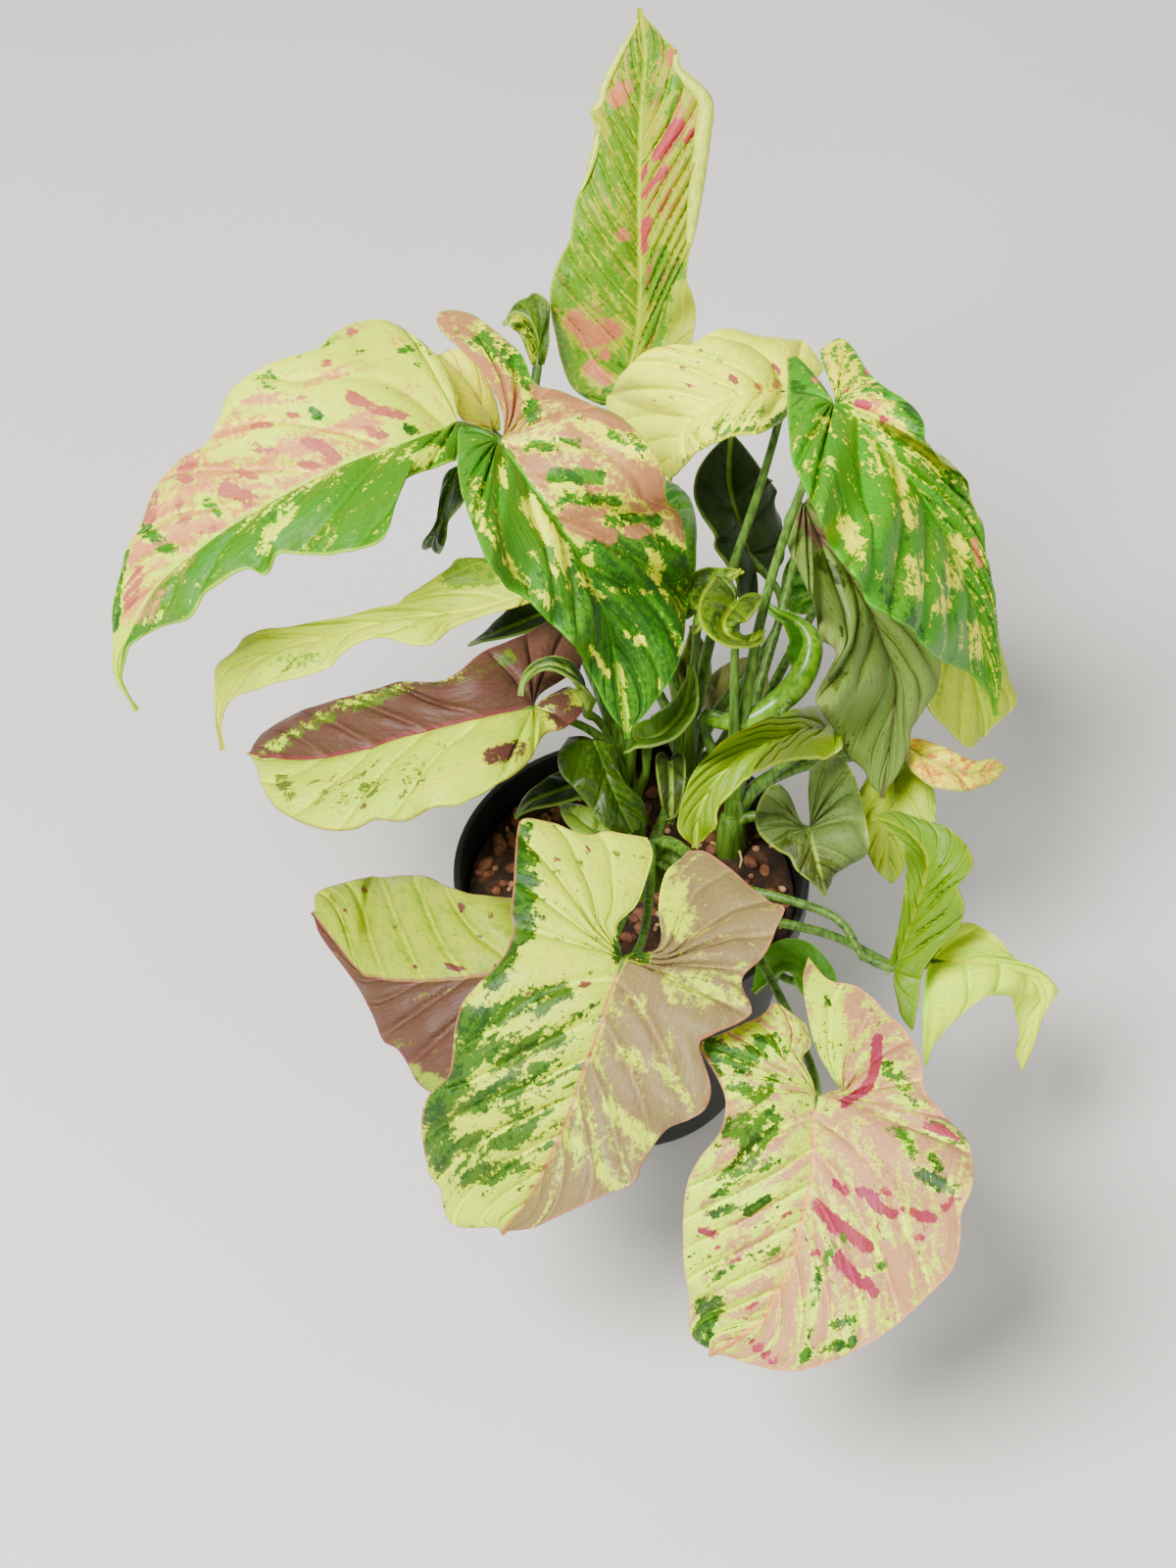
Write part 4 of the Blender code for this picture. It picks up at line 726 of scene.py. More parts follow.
def leaf_skin(name, green="#5a9a20", dark="#2f6f14", cream="#c9c840", pink="#c08050",
              coral="#b04040", rib="#8fb040", back="#6f8a2a", roughness=0.46, lines=1.22):
    """Waxy leaf skin: grainy patches along the side veins, paler veins and rim, a dull back."""
    made, tree, shader = new_material(name, roughness)
    shader.inputs["Specular IOR Level"].default_value = WAXY_SHINE
    lie = add_node(tree, "UVMap", uv_map="blade")

    # Each colour covers the one before it, in streaks along the side veins that break up into
    # grains. A streak is so many millimetres out and along, the share is how much the grains count
    # beside the streaks, and the soft value is how far two colours run into each other.
    place = add_node(tree, "TexCoord")
    speckle = add_node(tree, "TexNoise", {"Vector": place.outputs["Object"], "Scale": GRAIN_SCALE,
                                          "Detail": 4, "Roughness": 0.8})
    grains = add_node(tree, "SeparateColor", {0: speckle.outputs["Color"]})
    colour = linear(green)
    for kind, tint, streak, channel, share, soft in (
            ("deep", dark, (7, 4), "Red", 1.2, 0.1),
            ("light", cream, (6, 3.5), "Green", 1.2, 0.06),
            ("rose", pink, (9, 5), "Blue", 0.95, 0.13),
            ("coral", coral, (8, 3.5), "Red", 0.95, 0.07)):
        stretched = add_node(tree, "Mapping", {"Vector": lie.outputs[0], "Location": (*streak, 0),
                                               "Scale": (1 / streak[0], 1 / streak[1], 1)})
        field = add_node(tree, "TexNoise", {"Vector": stretched.outputs[0], "Scale": 1,
                                            "Detail": 2})
        broken = add_node(tree, "Math", {0: grains.outputs[channel], 1: share,
                                         2: field.outputs[0]}, operation="MULTIPLY_ADD")
        level = 0.5 + 0.5 * share
        even = add_node(tree, "MapRange", {
            "Value": broken.outputs[0], "From Min": level - GRAIN_SPREAD,
            "From Max": level + GRAIN_SPREAD, "To Min": soft, "To Max": 1 - soft})
        wanted = add_node(tree, "Attribute", attribute_name=kind, attribute_type="GEOMETRY")
        over = add_node(tree, "Math", {0: wanted.outputs["Fac"], 1: even.outputs[0]},
                        operation="SUBTRACT")
        mask = add_node(tree, "MapRange", {"Value": over.outputs[0], "From Min": -soft,
                                           "From Max": soft})
        mixed = add_node(tree, "Mix", {0: mask.outputs[0], MIX_A: colour, MIX_B: linear(tint)},
                         data_type="RGBA")
        colour = mixed.outputs[MIXED]

    # The green turns yellower and bluer over a centimetre, and lighter and darker from cell to cell
    cells = add_node(tree, "TexNoise", {"Vector": lie.outputs[0], "Scale": 1.1, "Detail": 4,
                                        "Roughness": 0.7})
    paler = add_node(tree, "MapRange", {"Value": cells.outputs[0], "From Min": 0.3, "From Max": 0.7,
                                        "To Min": 0.8, "To Max": 1.2})
    broad = add_node(tree, "TexNoise", {"Vector": lie.outputs[0], "Scale": 0.09, "Detail": 2})
    bluer = add_node(tree, "MapRange", {"Value": broad.outputs[0], "From Min": 0.3, "From Max": 0.7,
                                        "To Min": 0.485, "To Max": 0.512})
    mottled = add_node(tree, "HueSaturation", {"Hue": bluer.outputs[0], "Value": paler.outputs[0],
                                               "Color": colour})

    # Side veins every few millimetres as thin paler lines, then the rib and the thin pale rim
    apart = add_node(tree, "SeparateXYZ", {0: lie.outputs[0]})
    beside = add_node(tree, "Math", {0: apart.outputs["Y"], 1: VEIN_STEP / 2}, operation="PINGPONG")
    line = add_node(tree, "MapRange", {"Value": beside.outputs[0], "From Min": 0.15,
                                       "From Max": 0.9, "To Min": lines, "To Max": 1})
    veined = add_node(tree, "HueSaturation", {"Value": line.outputs[0],
                                              "Color": mottled.outputs[0]})
    middle = add_node(tree, "MapRange", {"Value": apart.outputs["X"], "From Min": 0.35,
                                         "From Max": 1.0, "To Min": 0.7, "To Max": 0})
    edge = add_node(tree, "Attribute", attribute_name="from_edge", attribute_type="GEOMETRY")
    rim = add_node(tree, "MapRange", {"Value": edge.outputs["Fac"], "From Min": 0.2,
                                      "From Max": 0.9, "To Min": 0.55, "To Max": 0})
    pale = add_node(tree, "Math", {0: middle.outputs[0], 1: rim.outputs[0]}, operation="MAXIMUM")
    ribbed = add_node(tree, "Mix", {0: pale.outputs[0], MIX_A: veined.outputs[0],
                                    MIX_B: linear(rib)}, data_type="RGBA")

    # The back is a duller, paler green
    side = add_node(tree, "Attribute", attribute_name="below", attribute_type="GEOMETRY")
    duller = add_node(tree, "Math", {0: side.outputs["Fac"], 1: 0.7}, operation="MULTIPLY")
    whole = add_node(tree, "Mix", {0: duller.outputs[0], MIX_A: ribbed.outputs[MIXED],
                                   MIX_B: linear(back)}, data_type="RGBA")
    tree.links.new(whole.outputs[MIXED], shader.inputs["Base Color"])

    # The skin sinks at each side vein, and swells in a fine net of smaller veins between them
    sunk = add_node(tree, "MapRange", {"Value": beside.outputs[0], "From Max": 2.4},
                    interpolation_type="SMOOTHSTEP")
    net = add_node(tree, "TexVoronoi", {"Vector": lie.outputs[0], "Scale": 0.3, "Detail": 1},
                   feature="DISTANCE_TO_EDGE")
    ridge = add_node(tree, "MapRange", {"Value": net.outputs[0], "From Max": 0.3, "To Max": 0.45})
    swell = add_node(tree, "Math", {0: sunk.outputs[0], 1: ridge.outputs[0]}, operation="ADD")
    height = add_node(tree, "Math", {0: cells.outputs[0], 1: 0.35, 2: swell.outputs[0]},
                      operation="MULTIPLY_ADD")
    relief = add_node(tree, "Bump", {"Height": height.outputs[0], "Strength": 0.7,
                                     "Distance": 0.7 * MM})
    tree.links.new(relief.outputs[0], shader.inputs["Normal"])
    return made


def juicy_skin(name, dark, pale, roughness):
    """Smooth green skin with fine darker streaks and a soft waxy shine."""
    made, tree, shader = new_material(name, roughness)
    shader.inputs["Specular IOR Level"].default_value = JUICY_SHINE
    place = add_node(tree, "TexCoord")
    drawn = add_node(tree, "Mapping", {"Vector": place.outputs["Object"], "Scale": (700, 700, 60)})
    streak = add_node(tree, "TexNoise", {"Vector": drawn.outputs[0], "Scale": 1, "Detail": 3})
    hue = add_node(tree, "ValToRGB", {"Fac": streak.outputs[0]})
    hue.color_ramp.elements[0].color, hue.color_ramp.elements[0].position = linear(dark), 0.3
    hue.color_ramp.elements[1].color, hue.color_ramp.elements[1].position = linear(pale), 0.75
    tree.links.new(hue.outputs[0], shader.inputs["Base Color"])
    relief = add_node(tree, "Bump", {"Height": streak.outputs[0], "Strength": 0.2,
                                     "Distance": 0.1 * MM})
    tree.links.new(relief.outputs[0], shader.inputs["Normal"])
    return made


# Stalks are dull mid green, and a rolled margin is paler and shinier than the blade
stalk_skin = juicy_skin("waxy green stalk skin", "#2a4a0c", "#6b9430", 0.42)
margin_skin = juicy_skin("rolled leaf margin", "#a3bb1c", "#dfe642", 0.3)
# A rolled margin's rings and sides, and how thin its two ends are
ROLL_STEPS, ROLL_SIDES, ROLL_END, ROLL_POWER = 24, 12, 0.05, 0.6


def rolled_margin(blade, side, first, last, radius):
    """Middle line and radii of a margin that has rolled in towards the rib."""
    points, radii = [], []
    for step in range(ROLL_STEPS + 1):
        half = Row(blade, side, first + (last - first) * step / ROLL_STEPS)
        inward = (half.start - half.end).normalized()
        turn = math.pi * (ROLL_END + (1 - 2 * ROLL_END) * step / ROLL_STEPS)
        swell = radius * math.sin(turn) ** ROLL_POWER
        points.append(half.end + inward * swell + half.facing(1) * 0.5 * swell)
        radii.append(swell)
    return points, radii


def grow_leaf(name, light=(0, 0), rose=(0, 0), deep=(0.3, 0.3), marks=(), skin=None, crinkled=1,
              rolls=(), **shape):
    """One leaf: its blade and the top of its stalk, standing for its CAD node.

    Places are in the picture, and the third number of a point of the rib, or of the stalk's via,
    is its height in millimetres. Margins that aren't traced are half widths in millimetres. Pairs
    are for the right and left halves: fold is the degrees that they rise, shoulder the share of
    the margin that lies behind the joint, and light, rose and deep how far each colour fills
    them. lobe is the share of the rows behind the joint, enters the stalk's way into it, wave the
    waves' height in millimetres, count and phase, and a roll its side, first and last row and
    radius. marks are strokes by colour, each with its strength, half width and places.
    """
    blade = Blade(**shape)
    tints = {"light": light, "rose": rose, "deep": deep, "coral": (0, 0)}
    bm = blade_bmesh(blade, tints, marks, crinkled)
    ahead = blade.rib.along(0.0, JOINT_SHARE)
    below = blade.under_joint - blade.frame(0.0)[2] * JOINT_SUNK
    up = [blade.under_joint - blade.enters * length for length in JOINT_RUN_UP]
    inside = [below + ahead * length for length in JOINT_RUN_IN]
    radii = [JOINT_RADIUS * share for share in JOINT_TAPER]
    tube_into(bm, up + inside, radii, JOINT_SIDES, material_index=1)
    for side, first, last, radius in rolls:
        points, radii = rolled_margin(blade, side, first, last, radius * MM)
        tube_into(bm, points, radii, ROLL_SIDES, material_index=2)
    blade_skin = leaf_skin(name.replace("_", " ") + " skin", **(skin or {}))
    leaf = add_piece(name.replace("leaf_", "blade_"), bm, blade_skin, stalk_skin, margin_skin)
    smooth_shaded(leaf, SOFT_EDGE)
    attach(leaf, "root")
    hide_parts(name)
    return blade


# The stem's rings: heights over the top of the potting mix, and radii
STEM_RINGS = ((-22 * MM, 5 * MM), (0, 5 * MM), (9.6 * MM, 4.75 * MM), (14.4 * MM, 4 * MM),
              (16 * MM, 2.4 * MM))
STEM_SIDES = 20
# Stalks: their thickness, where they leave the stem, and how they rise, arch and meet the blade
STALK_FOOT_RADIUS, STALK_TOP_RADIUS, STALK_SIDES, STALK_POINTS = 2.4 * MM, 1.25 * MM, 12, 24
STALK_FOOT_HEIGHT, STALK_FOOT_STAGGER, STALK_FOOT_OUT = 7 * MM, 0.7 * MM, 1.5 * MM
STALK_FIRST_RISE, STALK_STRAIGHT, STALK_MEETS = 8 * MM, 3.5 * MM, 0.5 * MM
STALK_UPRIGHT, STALK_ARCH = 0.55, 0.35


def stalk_path(foot, blade):
    """The stalk's middle line, from its shoot's stem to the blade's joint, as one smooth curve."""
    end = blade.stalk_end - blade.enters * STALK_STRAIGHT
    if blade.via:
        path = Path([foot, foot + UP * STALK_FIRST_RISE, *blade.via, end, blade.stalk_end])
        return [path.at(k / STALK_POINTS) for k in range(STALK_POINTS + 1)]
    span = (end - foot).length
    a, b = foot, foot + UP * STALK_UPRIGHT * span
    c, d = end - blade.enters * STALK_ARCH * span, end
    steps = []
    for step in range(STALK_POINTS):
        t = step / (STALK_POINTS - 1)
        steps.append(a * (1 - t)**3 + b * 3 * t * (1 - t)**2 + c * 3 * t**2 * (1 - t) + d * t**3)
    return [*steps, blade.stalk_end + blade.enters * STALK_MEETS]


def grow_shoot(name, place, blades):
    """A short stem at a place in millimetres, and its stalks, standing for their CAD node."""
    middle = Vector((place[0] * MM, place[1] * MM, SOIL_TOP))
    bm = bmesh.new()
    heights, radii = zip(*STEM_RINGS)
    tube_into(bm, [middle + UP * height for height in heights], radii, STEM_SIDES)
    for order, blade in enumerate(blades):
        toward = blade.stalk_end - middle
        toward.z = 0
        foot_height = STALK_FOOT_HEIGHT + order * STALK_FOOT_STAGGER
        foot = middle + toward.normalized() * STALK_FOOT_OUT + UP * foot_height
        points = stalk_path(foot, blade)
        swell = STALK_FOOT_RADIUS - STALK_TOP_RADIUS
        radii = [STALK_TOP_RADIUS + swell * (1 - k / len(points))**2 for k in range(len(points))]
        tube_into(bm, points, radii, STALK_SIDES)
    shoot = add_piece(name.replace("shoot_", "stalks_"), bm, stalk_skin)
    smooth_shaded(shoot, SOFT_EDGE)
    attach(shoot, "root")
    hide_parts(name)


left_blades = [
    grow_leaf(
        "leaf_left_high", fold=(18, 2), lobe=0.2, shoulder=(0.2, 0.1), wave=(2.5, 3, 0), veins=9,
        light=(1, 0.1), rose=(0.2, 0), deep=(0.6, 0.12),
        rib=[(467, 431, 216), (419, 448, 221), (355, 471, 220), (291, 503, 214), (228, 541, 204),
            (164, 592, 190), (134, 640, 176), (122, 680, 163), (141, 725, 148)],
        right=[(465, 412), (463, 391), (446, 363), (422, 341), (399, 329), (371, 327), (342, 339),
            (323, 355), (291, 365), (259, 379), (234, 400), (222, 430), (208, 455), (180, 471),
            (157, 500), (145, 532), (130, 558), (122, 586), (114, 620), (115, 650), (117, 690)],
        left=[(468, 450), (466, 468), (438, 478), (412, 490), (403, 516), (397, 538), (384, 554),
            (355, 563), (323, 566), (285, 564), (270, 586), (250, 580), (212, 602), (192, 631),
            (164, 640), (141, 652), (129, 665), (126, 700)],
        skin=dict(green="#3b7901", dark="#20540a", cream="#d7eb03", pink="#cf864e",
            coral="#ae6049", rib="#bdeb04", back="#46710b"),
        marks=[
            ("rose", (0.62, 26, (215, 470), (165, 545), (140, 610)),
             (0.6, 20, (370, 440), (290, 482), (225, 520)),
             (0.45, 14, (330, 380), (270, 410), (225, 450))),
            ("coral", (0.6, 3, (345, 385)), (0.6, 3, (290, 420), (300, 424)), (0.6, 3, (395, 395)),
             (0.6, 4, (240, 480), (262, 486)), (0.6, 4, (205, 545), (218, 540)),
             (0.5, 3, (310, 405)), (0.9, 5, (359, 339)), (0.9, 4, (333, 370)),
             (0.8, 3, (306, 363)), (0.9, 5, (356, 403), (375, 415), (413, 423)),
             (0.8, 6, (375, 440), (389, 444)), (0.7, 4, (258, 434), (273, 433)),
             (0.7, 6, (309, 448), (327, 454), (346, 470)),
             (0.6, 5, (255, 454), (276, 461), (319, 476)), (0.7, 8, (193, 473), (188, 486)),
             (0.7, 8, (231, 500), (255, 510)), (0.6, 6, (183, 513), (188, 532)),
             (0.7, 6, (142, 583), (130, 615)), (0.6, 7, (156, 505), (150, 530))),
            ("green", (1, 4, (320, 420), (326, 424)), (0.5, 6, (341, 342), (333, 352)),
             (0.45, 8, (264, 380), (278, 392)), (0.45, 5, (365, 358)), (0.5, 5, (424, 373)),
             (0.45, 6, (408, 358), (438, 355)), (0.5, 5, (207, 511), (225, 524)),
             (0.75, 7, (150, 541), (163, 553), (177, 564)),
             (0.8, 4, (128, 565), (121, 595), (117, 640)), (0.7, 3, (415, 437), (424, 440))),
            ("light", (0.8, 6, (426, 470), (445, 460)), (0.4, 8, (394, 468), (410, 462)),
             (0.75, 6, (296, 520), (276, 543), (268, 561)), (0.35, 4, (234, 538), (346, 479)),
             (0.45, 6, (223, 564)), (0.5, 4, (150, 634), (163, 628)))]),
    grow_leaf(
        "leaf_middle_high", fold=(12, 8), lobe=0.4, wave=(2, 3, 0.2), veins=12, light=(0.05, 0.85),
        rose=(0, 0.6), deep=(0.2, 0.55),
        rib=[(509, 450, 234), (532, 481, 234), (556, 514, 229), (581, 551, 219), (599, 585, 209),
            (616, 621, 197), (627, 667, 183), (637, 719, 169), (641, 754, 159)],
        right=[(500, 441), (484, 438), (469, 436), (467, 459), (468, 484), (475, 514), (489, 551),
            (501, 575), (520, 600), (544, 615), (562, 634), (584, 655), (602, 686), (621, 725)],
        left=[(513, 447), (512, 422), (495, 389), (474, 364), (452, 343), (445, 327), (449, 318),
            (464, 316), (483, 321), (501, 334), (520, 349), (535, 366), (541, 383), (549, 392),
            (572, 398), (593, 407), (621, 418), (639, 429), (654, 444), (666, 462), (679, 484),
            (680, 508), (694, 526), (700, 560), (705, 585), (702, 618), (697, 661), (685, 692),
            (666, 719), (648, 744)],
        skin=dict(green="#397907", dark="#1f550a", cream="#e4eb02", pink="#ab7646",
            coral="#996044", rib="#55aa04", back="#3b550b"),
        marks=[
            ("green", (0.96, 60, (640, 640), (640, 740)), (0.9, 22, (610, 575), (690, 575))),
            ("light", (0.72, 8, (538, 516), (558, 540), (573, 563), (573, 578)),
             (0.6, 5, (513, 475), (513, 496)), (0.5, 6, (488, 493), (487, 520), (502, 551)),
             (0.5, 5, (517, 572), (541, 596), (561, 616)), (0.5, 5, (546, 566)),
             (0.5, 5, (582, 598)), (0.72, 3, (605, 663), (620, 689)),
             (0.72, 3, (630, 675), (636, 710), (640, 745)),
             (0.72, 8, (453, 323), (464, 340), (494, 372), (520, 402), (523, 431))),
            ("rose", (0.75, 8, (464, 340), (494, 372), (520, 402), (523, 431))),
            ("green", (0.7, 9, (488, 345), (523, 366), (538, 386)), (0.85, 10, (544, 419))),
            ("rose", (1, 7, (552, 396), (599, 414), (640, 434))),
            ("green", (0.55, 5, (538, 455), (588, 452)), (0.6, 8, (629, 446), (652, 458)),
             (0.9, 7, (564, 484), (611, 487)), (0.75, 6, (576, 508), (629, 510)),
             (0.75, 6, (623, 531), (670, 531))),
            ("rose", (1, 8, (547, 478)), (1, 10, (664, 487), (673, 505)), (0.9, 6, (599, 472)),
             (1, 6, (582, 521), (599, 540), (623, 548)), (0.9, 5, (645, 542), (658, 540))),
            ("light", (0.6, 6, (602, 572)), (0.55, 8, (667, 566), (670, 587)),
             (0.6, 5, (593, 587), (611, 610)), (0.45, 3, (617, 601), (682, 604)),
             (0.72, 5, (652, 654)), (0.5, 4, (676, 698)), (0.6, 4, (638, 648)))]),
    grow_leaf(
        "leaf_left_narrow", enters=(-0.9, 0.1, 0.4), fold=(14, 6), lobe=0.2, shoulder=(0.06, 0.06),
        wave=(1.5, 3, 0.4), veins=8, light=(0.95, 0.9), rose=(0, 0), deep=(0.1, 0.1),
        rib=[(545, 605, 184), (480, 622, 182), (400, 632, 174), (330, 650, 163), (267, 671, 152),
            (235, 700, 141), (222, 725, 133), (228, 766, 120)],
        right=[(540, 602), (522, 590), (497, 569), (468, 569), (457, 580), (436, 594), (414, 607),
            (400, 618), (371, 624), (334, 634), (288, 640), (254, 647), (240, 663), (221, 679),
            (219, 700), (220, 735)],
        left=[(546, 612), (524, 619), (495, 627), (471, 636), (457, 642), (441, 655), (425, 658),
            (409, 654), (387, 650), (366, 654), (350, 666), (331, 682), (291, 694), (267, 701),
            (248, 707), (232, 717), (226, 740)],
        skin=dict(green="#759804", dark="#52790e", cream="#bdd304", pink="#aa7a3b", rib="#f6f604",
            back="#6c850f"),
        marks=[
            ("green", (0.5, 6, (290, 680), (320, 672)), (0.85, 14, (465, 585), (495, 580)))]),
    grow_leaf(
        "leaf_left_rose", fold=(24, 4), lobe=0.34, wave=(1.5, 3, 0.1), veins=9, light=(0, 0.95),
        rose=(0.95, 0), deep=(0.4, 0.1),
        rib=[(544, 721, 158), (495, 730, 161), (454, 740, 158), (414, 750, 153), (366, 765, 145),
            (312, 774, 136), (264, 770, 127), (254, 766, 124)],
        right=[(551, 711), (570, 700), (592, 684), (594, 669), (580, 645), (562, 634), (540, 645),
            (508, 658), (487, 669), (468, 685), (446, 695), (409, 695), (382, 703), (345, 713),
            (307, 725), (278, 741), (257, 757)],
        left=[(556, 716), (580, 700), (592, 706), (594, 725), (575, 742), (556, 748), (540, 776),
            (519, 793), (495, 808), (468, 820), (436, 825), (414, 837), (382, 837), (358, 846),
            (329, 846), (307, 839), (283, 825), (270, 808), (262, 786)],
        skin=dict(green="#546b10", dark="#3d4d0d", cream="#bad303", pink="#553729", rib="#84343b",
            back="#6d7a16", lines=1.3),
        marks=[
            ("rose", (0.5, 4, (375, 805), (368, 822)), (0.6, 9, (500, 770), (530, 765))),
            ("green", (0.4, 4, (448, 764))),
            ("rose", (0.8, 16, (585, 735), (550, 700)),
             (0.45, 7, (270, 768), (330, 730), (400, 705), (470, 690), (520, 672))),
            ("light", (0.5, 5, (272, 766), (330, 726), (400, 700), (470, 686))),
            ("green", (0.55, 6, (285, 795), (300, 815)), (0.35, 14, (330, 810), (420, 790)))]),
    grow_leaf(
        "leaf_left_dark", fold=(15, 15), wave=(1, 2, 0), deep=(0.8, 0.8), right=8, left=7,
        rib=[(563, 622, 158), (530, 636, 160), (500, 648, 155), (478, 656, 147)],
        skin=dict(green="#294308", dark="#1d3405")),
    grow_leaf(
        "leaf_left_small", fold=(10, 10), lobe=0.25, wave=(1, 2, 0.3), light=(0.2, 0.2),
        deep=(0.6, 0.6),
        rib=[(470, 474, 184), (458, 500, 176), (448, 535, 164), (440, 560, 154)],
        right=[(465, 476), (454, 484), (449, 503), (444, 535), (432, 554), (431, 561)],
        left=[(473, 480), (474, 500), (471, 513), (457, 532), (454, 551), (447, 565)],
        skin=dict(green="#35600d", dark="#254309", cream="#79aa04")),
    grow_leaf(
        "leaf_left_pale_lobe", fold=(10, 10), lobe=0.3, wave=(1, 2, 0.1), light=(1, 1),
        rose=(0.3, 0.3), deep=(0, 0),
        rib=[(503, 440, 186), (490, 410, 197), (470, 382, 205), (448, 361, 208)],
        right=[(511, 440), (510, 425), (505, 405), (493, 382), (480, 362), (462, 356)],
        left=[(497, 446), (485, 438), (470, 425), (462, 405), (452, 385), (445, 370)],
        skin=dict(green="#678615", cream="#f6f604", pink="#ec864d", back="#607311")),
    grow_leaf(
        "leaf_back_small", fold=(15, 20), lobe=0.3, wave=(1.5, 2, 0.1), light=(0, 0.5),
        deep=(0.5, 0.5),
        rib=[(548, 374, 204), (549, 348, 211), (540, 325, 216), (524, 319, 216), (512, 330, 212)],
        right=[(555, 372), (560, 350), (560, 325), (560, 308), (546, 298), (538, 303), (526, 309)],
        left=[(542, 372), (537, 358), (530, 340), (521, 332)],
        skin=dict(green="#486b09", dark="#314c09", cream="#aabd04")),
    grow_leaf(
        "leaf_inner_claw", enters=(-0.1, -0.2, 0.97), fold=(8, 8), lobe=0.2, wave=(1.5, 3, 0),
        crinkled=2.5, deep=(0.6, 0.6),
        rib=[(606, 754, 141), (616, 780, 140), (628, 812, 133), (646, 850, 121)],
        right=[(596, 753), (580, 752), (570, 768), (573, 788), (588, 806), (603, 825), (622, 846)],
        left=[(617, 755), (628, 762), (629, 780), (637, 797), (655, 816), (662, 838)],
        skin=dict(green="#39540a", dark="#263e07", rib="#496b20", roughness=0.25, lines=1.3)),
    grow_leaf(
        "leaf_inner_hook", enters=(-0.2, -0.6, 0.78), fold=(12, 16), lobe=0, wave=(0.5, 2, 0),
        deep=(0.7, 0.7), right=4, left=4,
        rib=[(600, 726, 150), (598, 705, 160), (585, 688, 168), (566, 678, 172), (548, 681, 171),
            (534, 694, 170), (531, 710, 167)],
        skin=dict(green="#304e0a", dark="#233b07")),
    grow_leaf(
        "leaf_inner_cup", enters=(0, 0, 1), fold=(25, 45), lobe=0.15, wave=(1, 2, 0), crinkled=2,
        deep=(0.3, 0.3), right=8, left=7,
        rib=[(658, 757, 136), (676, 748, 142), (695, 728, 147), (704, 700, 154), (705, 679, 161)],
        skin=dict(green="#3d610b", dark="#2e4d09", roughness=0.28)),
    grow_leaf(
        "leaf_inner_dark", fold=(10, 10), wave=(1, 2, 0), deep=(0.9, 0.9), right=7, left=7,
        rib=[(590, 800, 122), (567, 808, 124), (542, 818, 121), (524, 833, 115)],
        skin=dict(green="#283b08", dark="#1e3005")),
]
grow_shoot("shoot_left", (0, 22), left_blades)

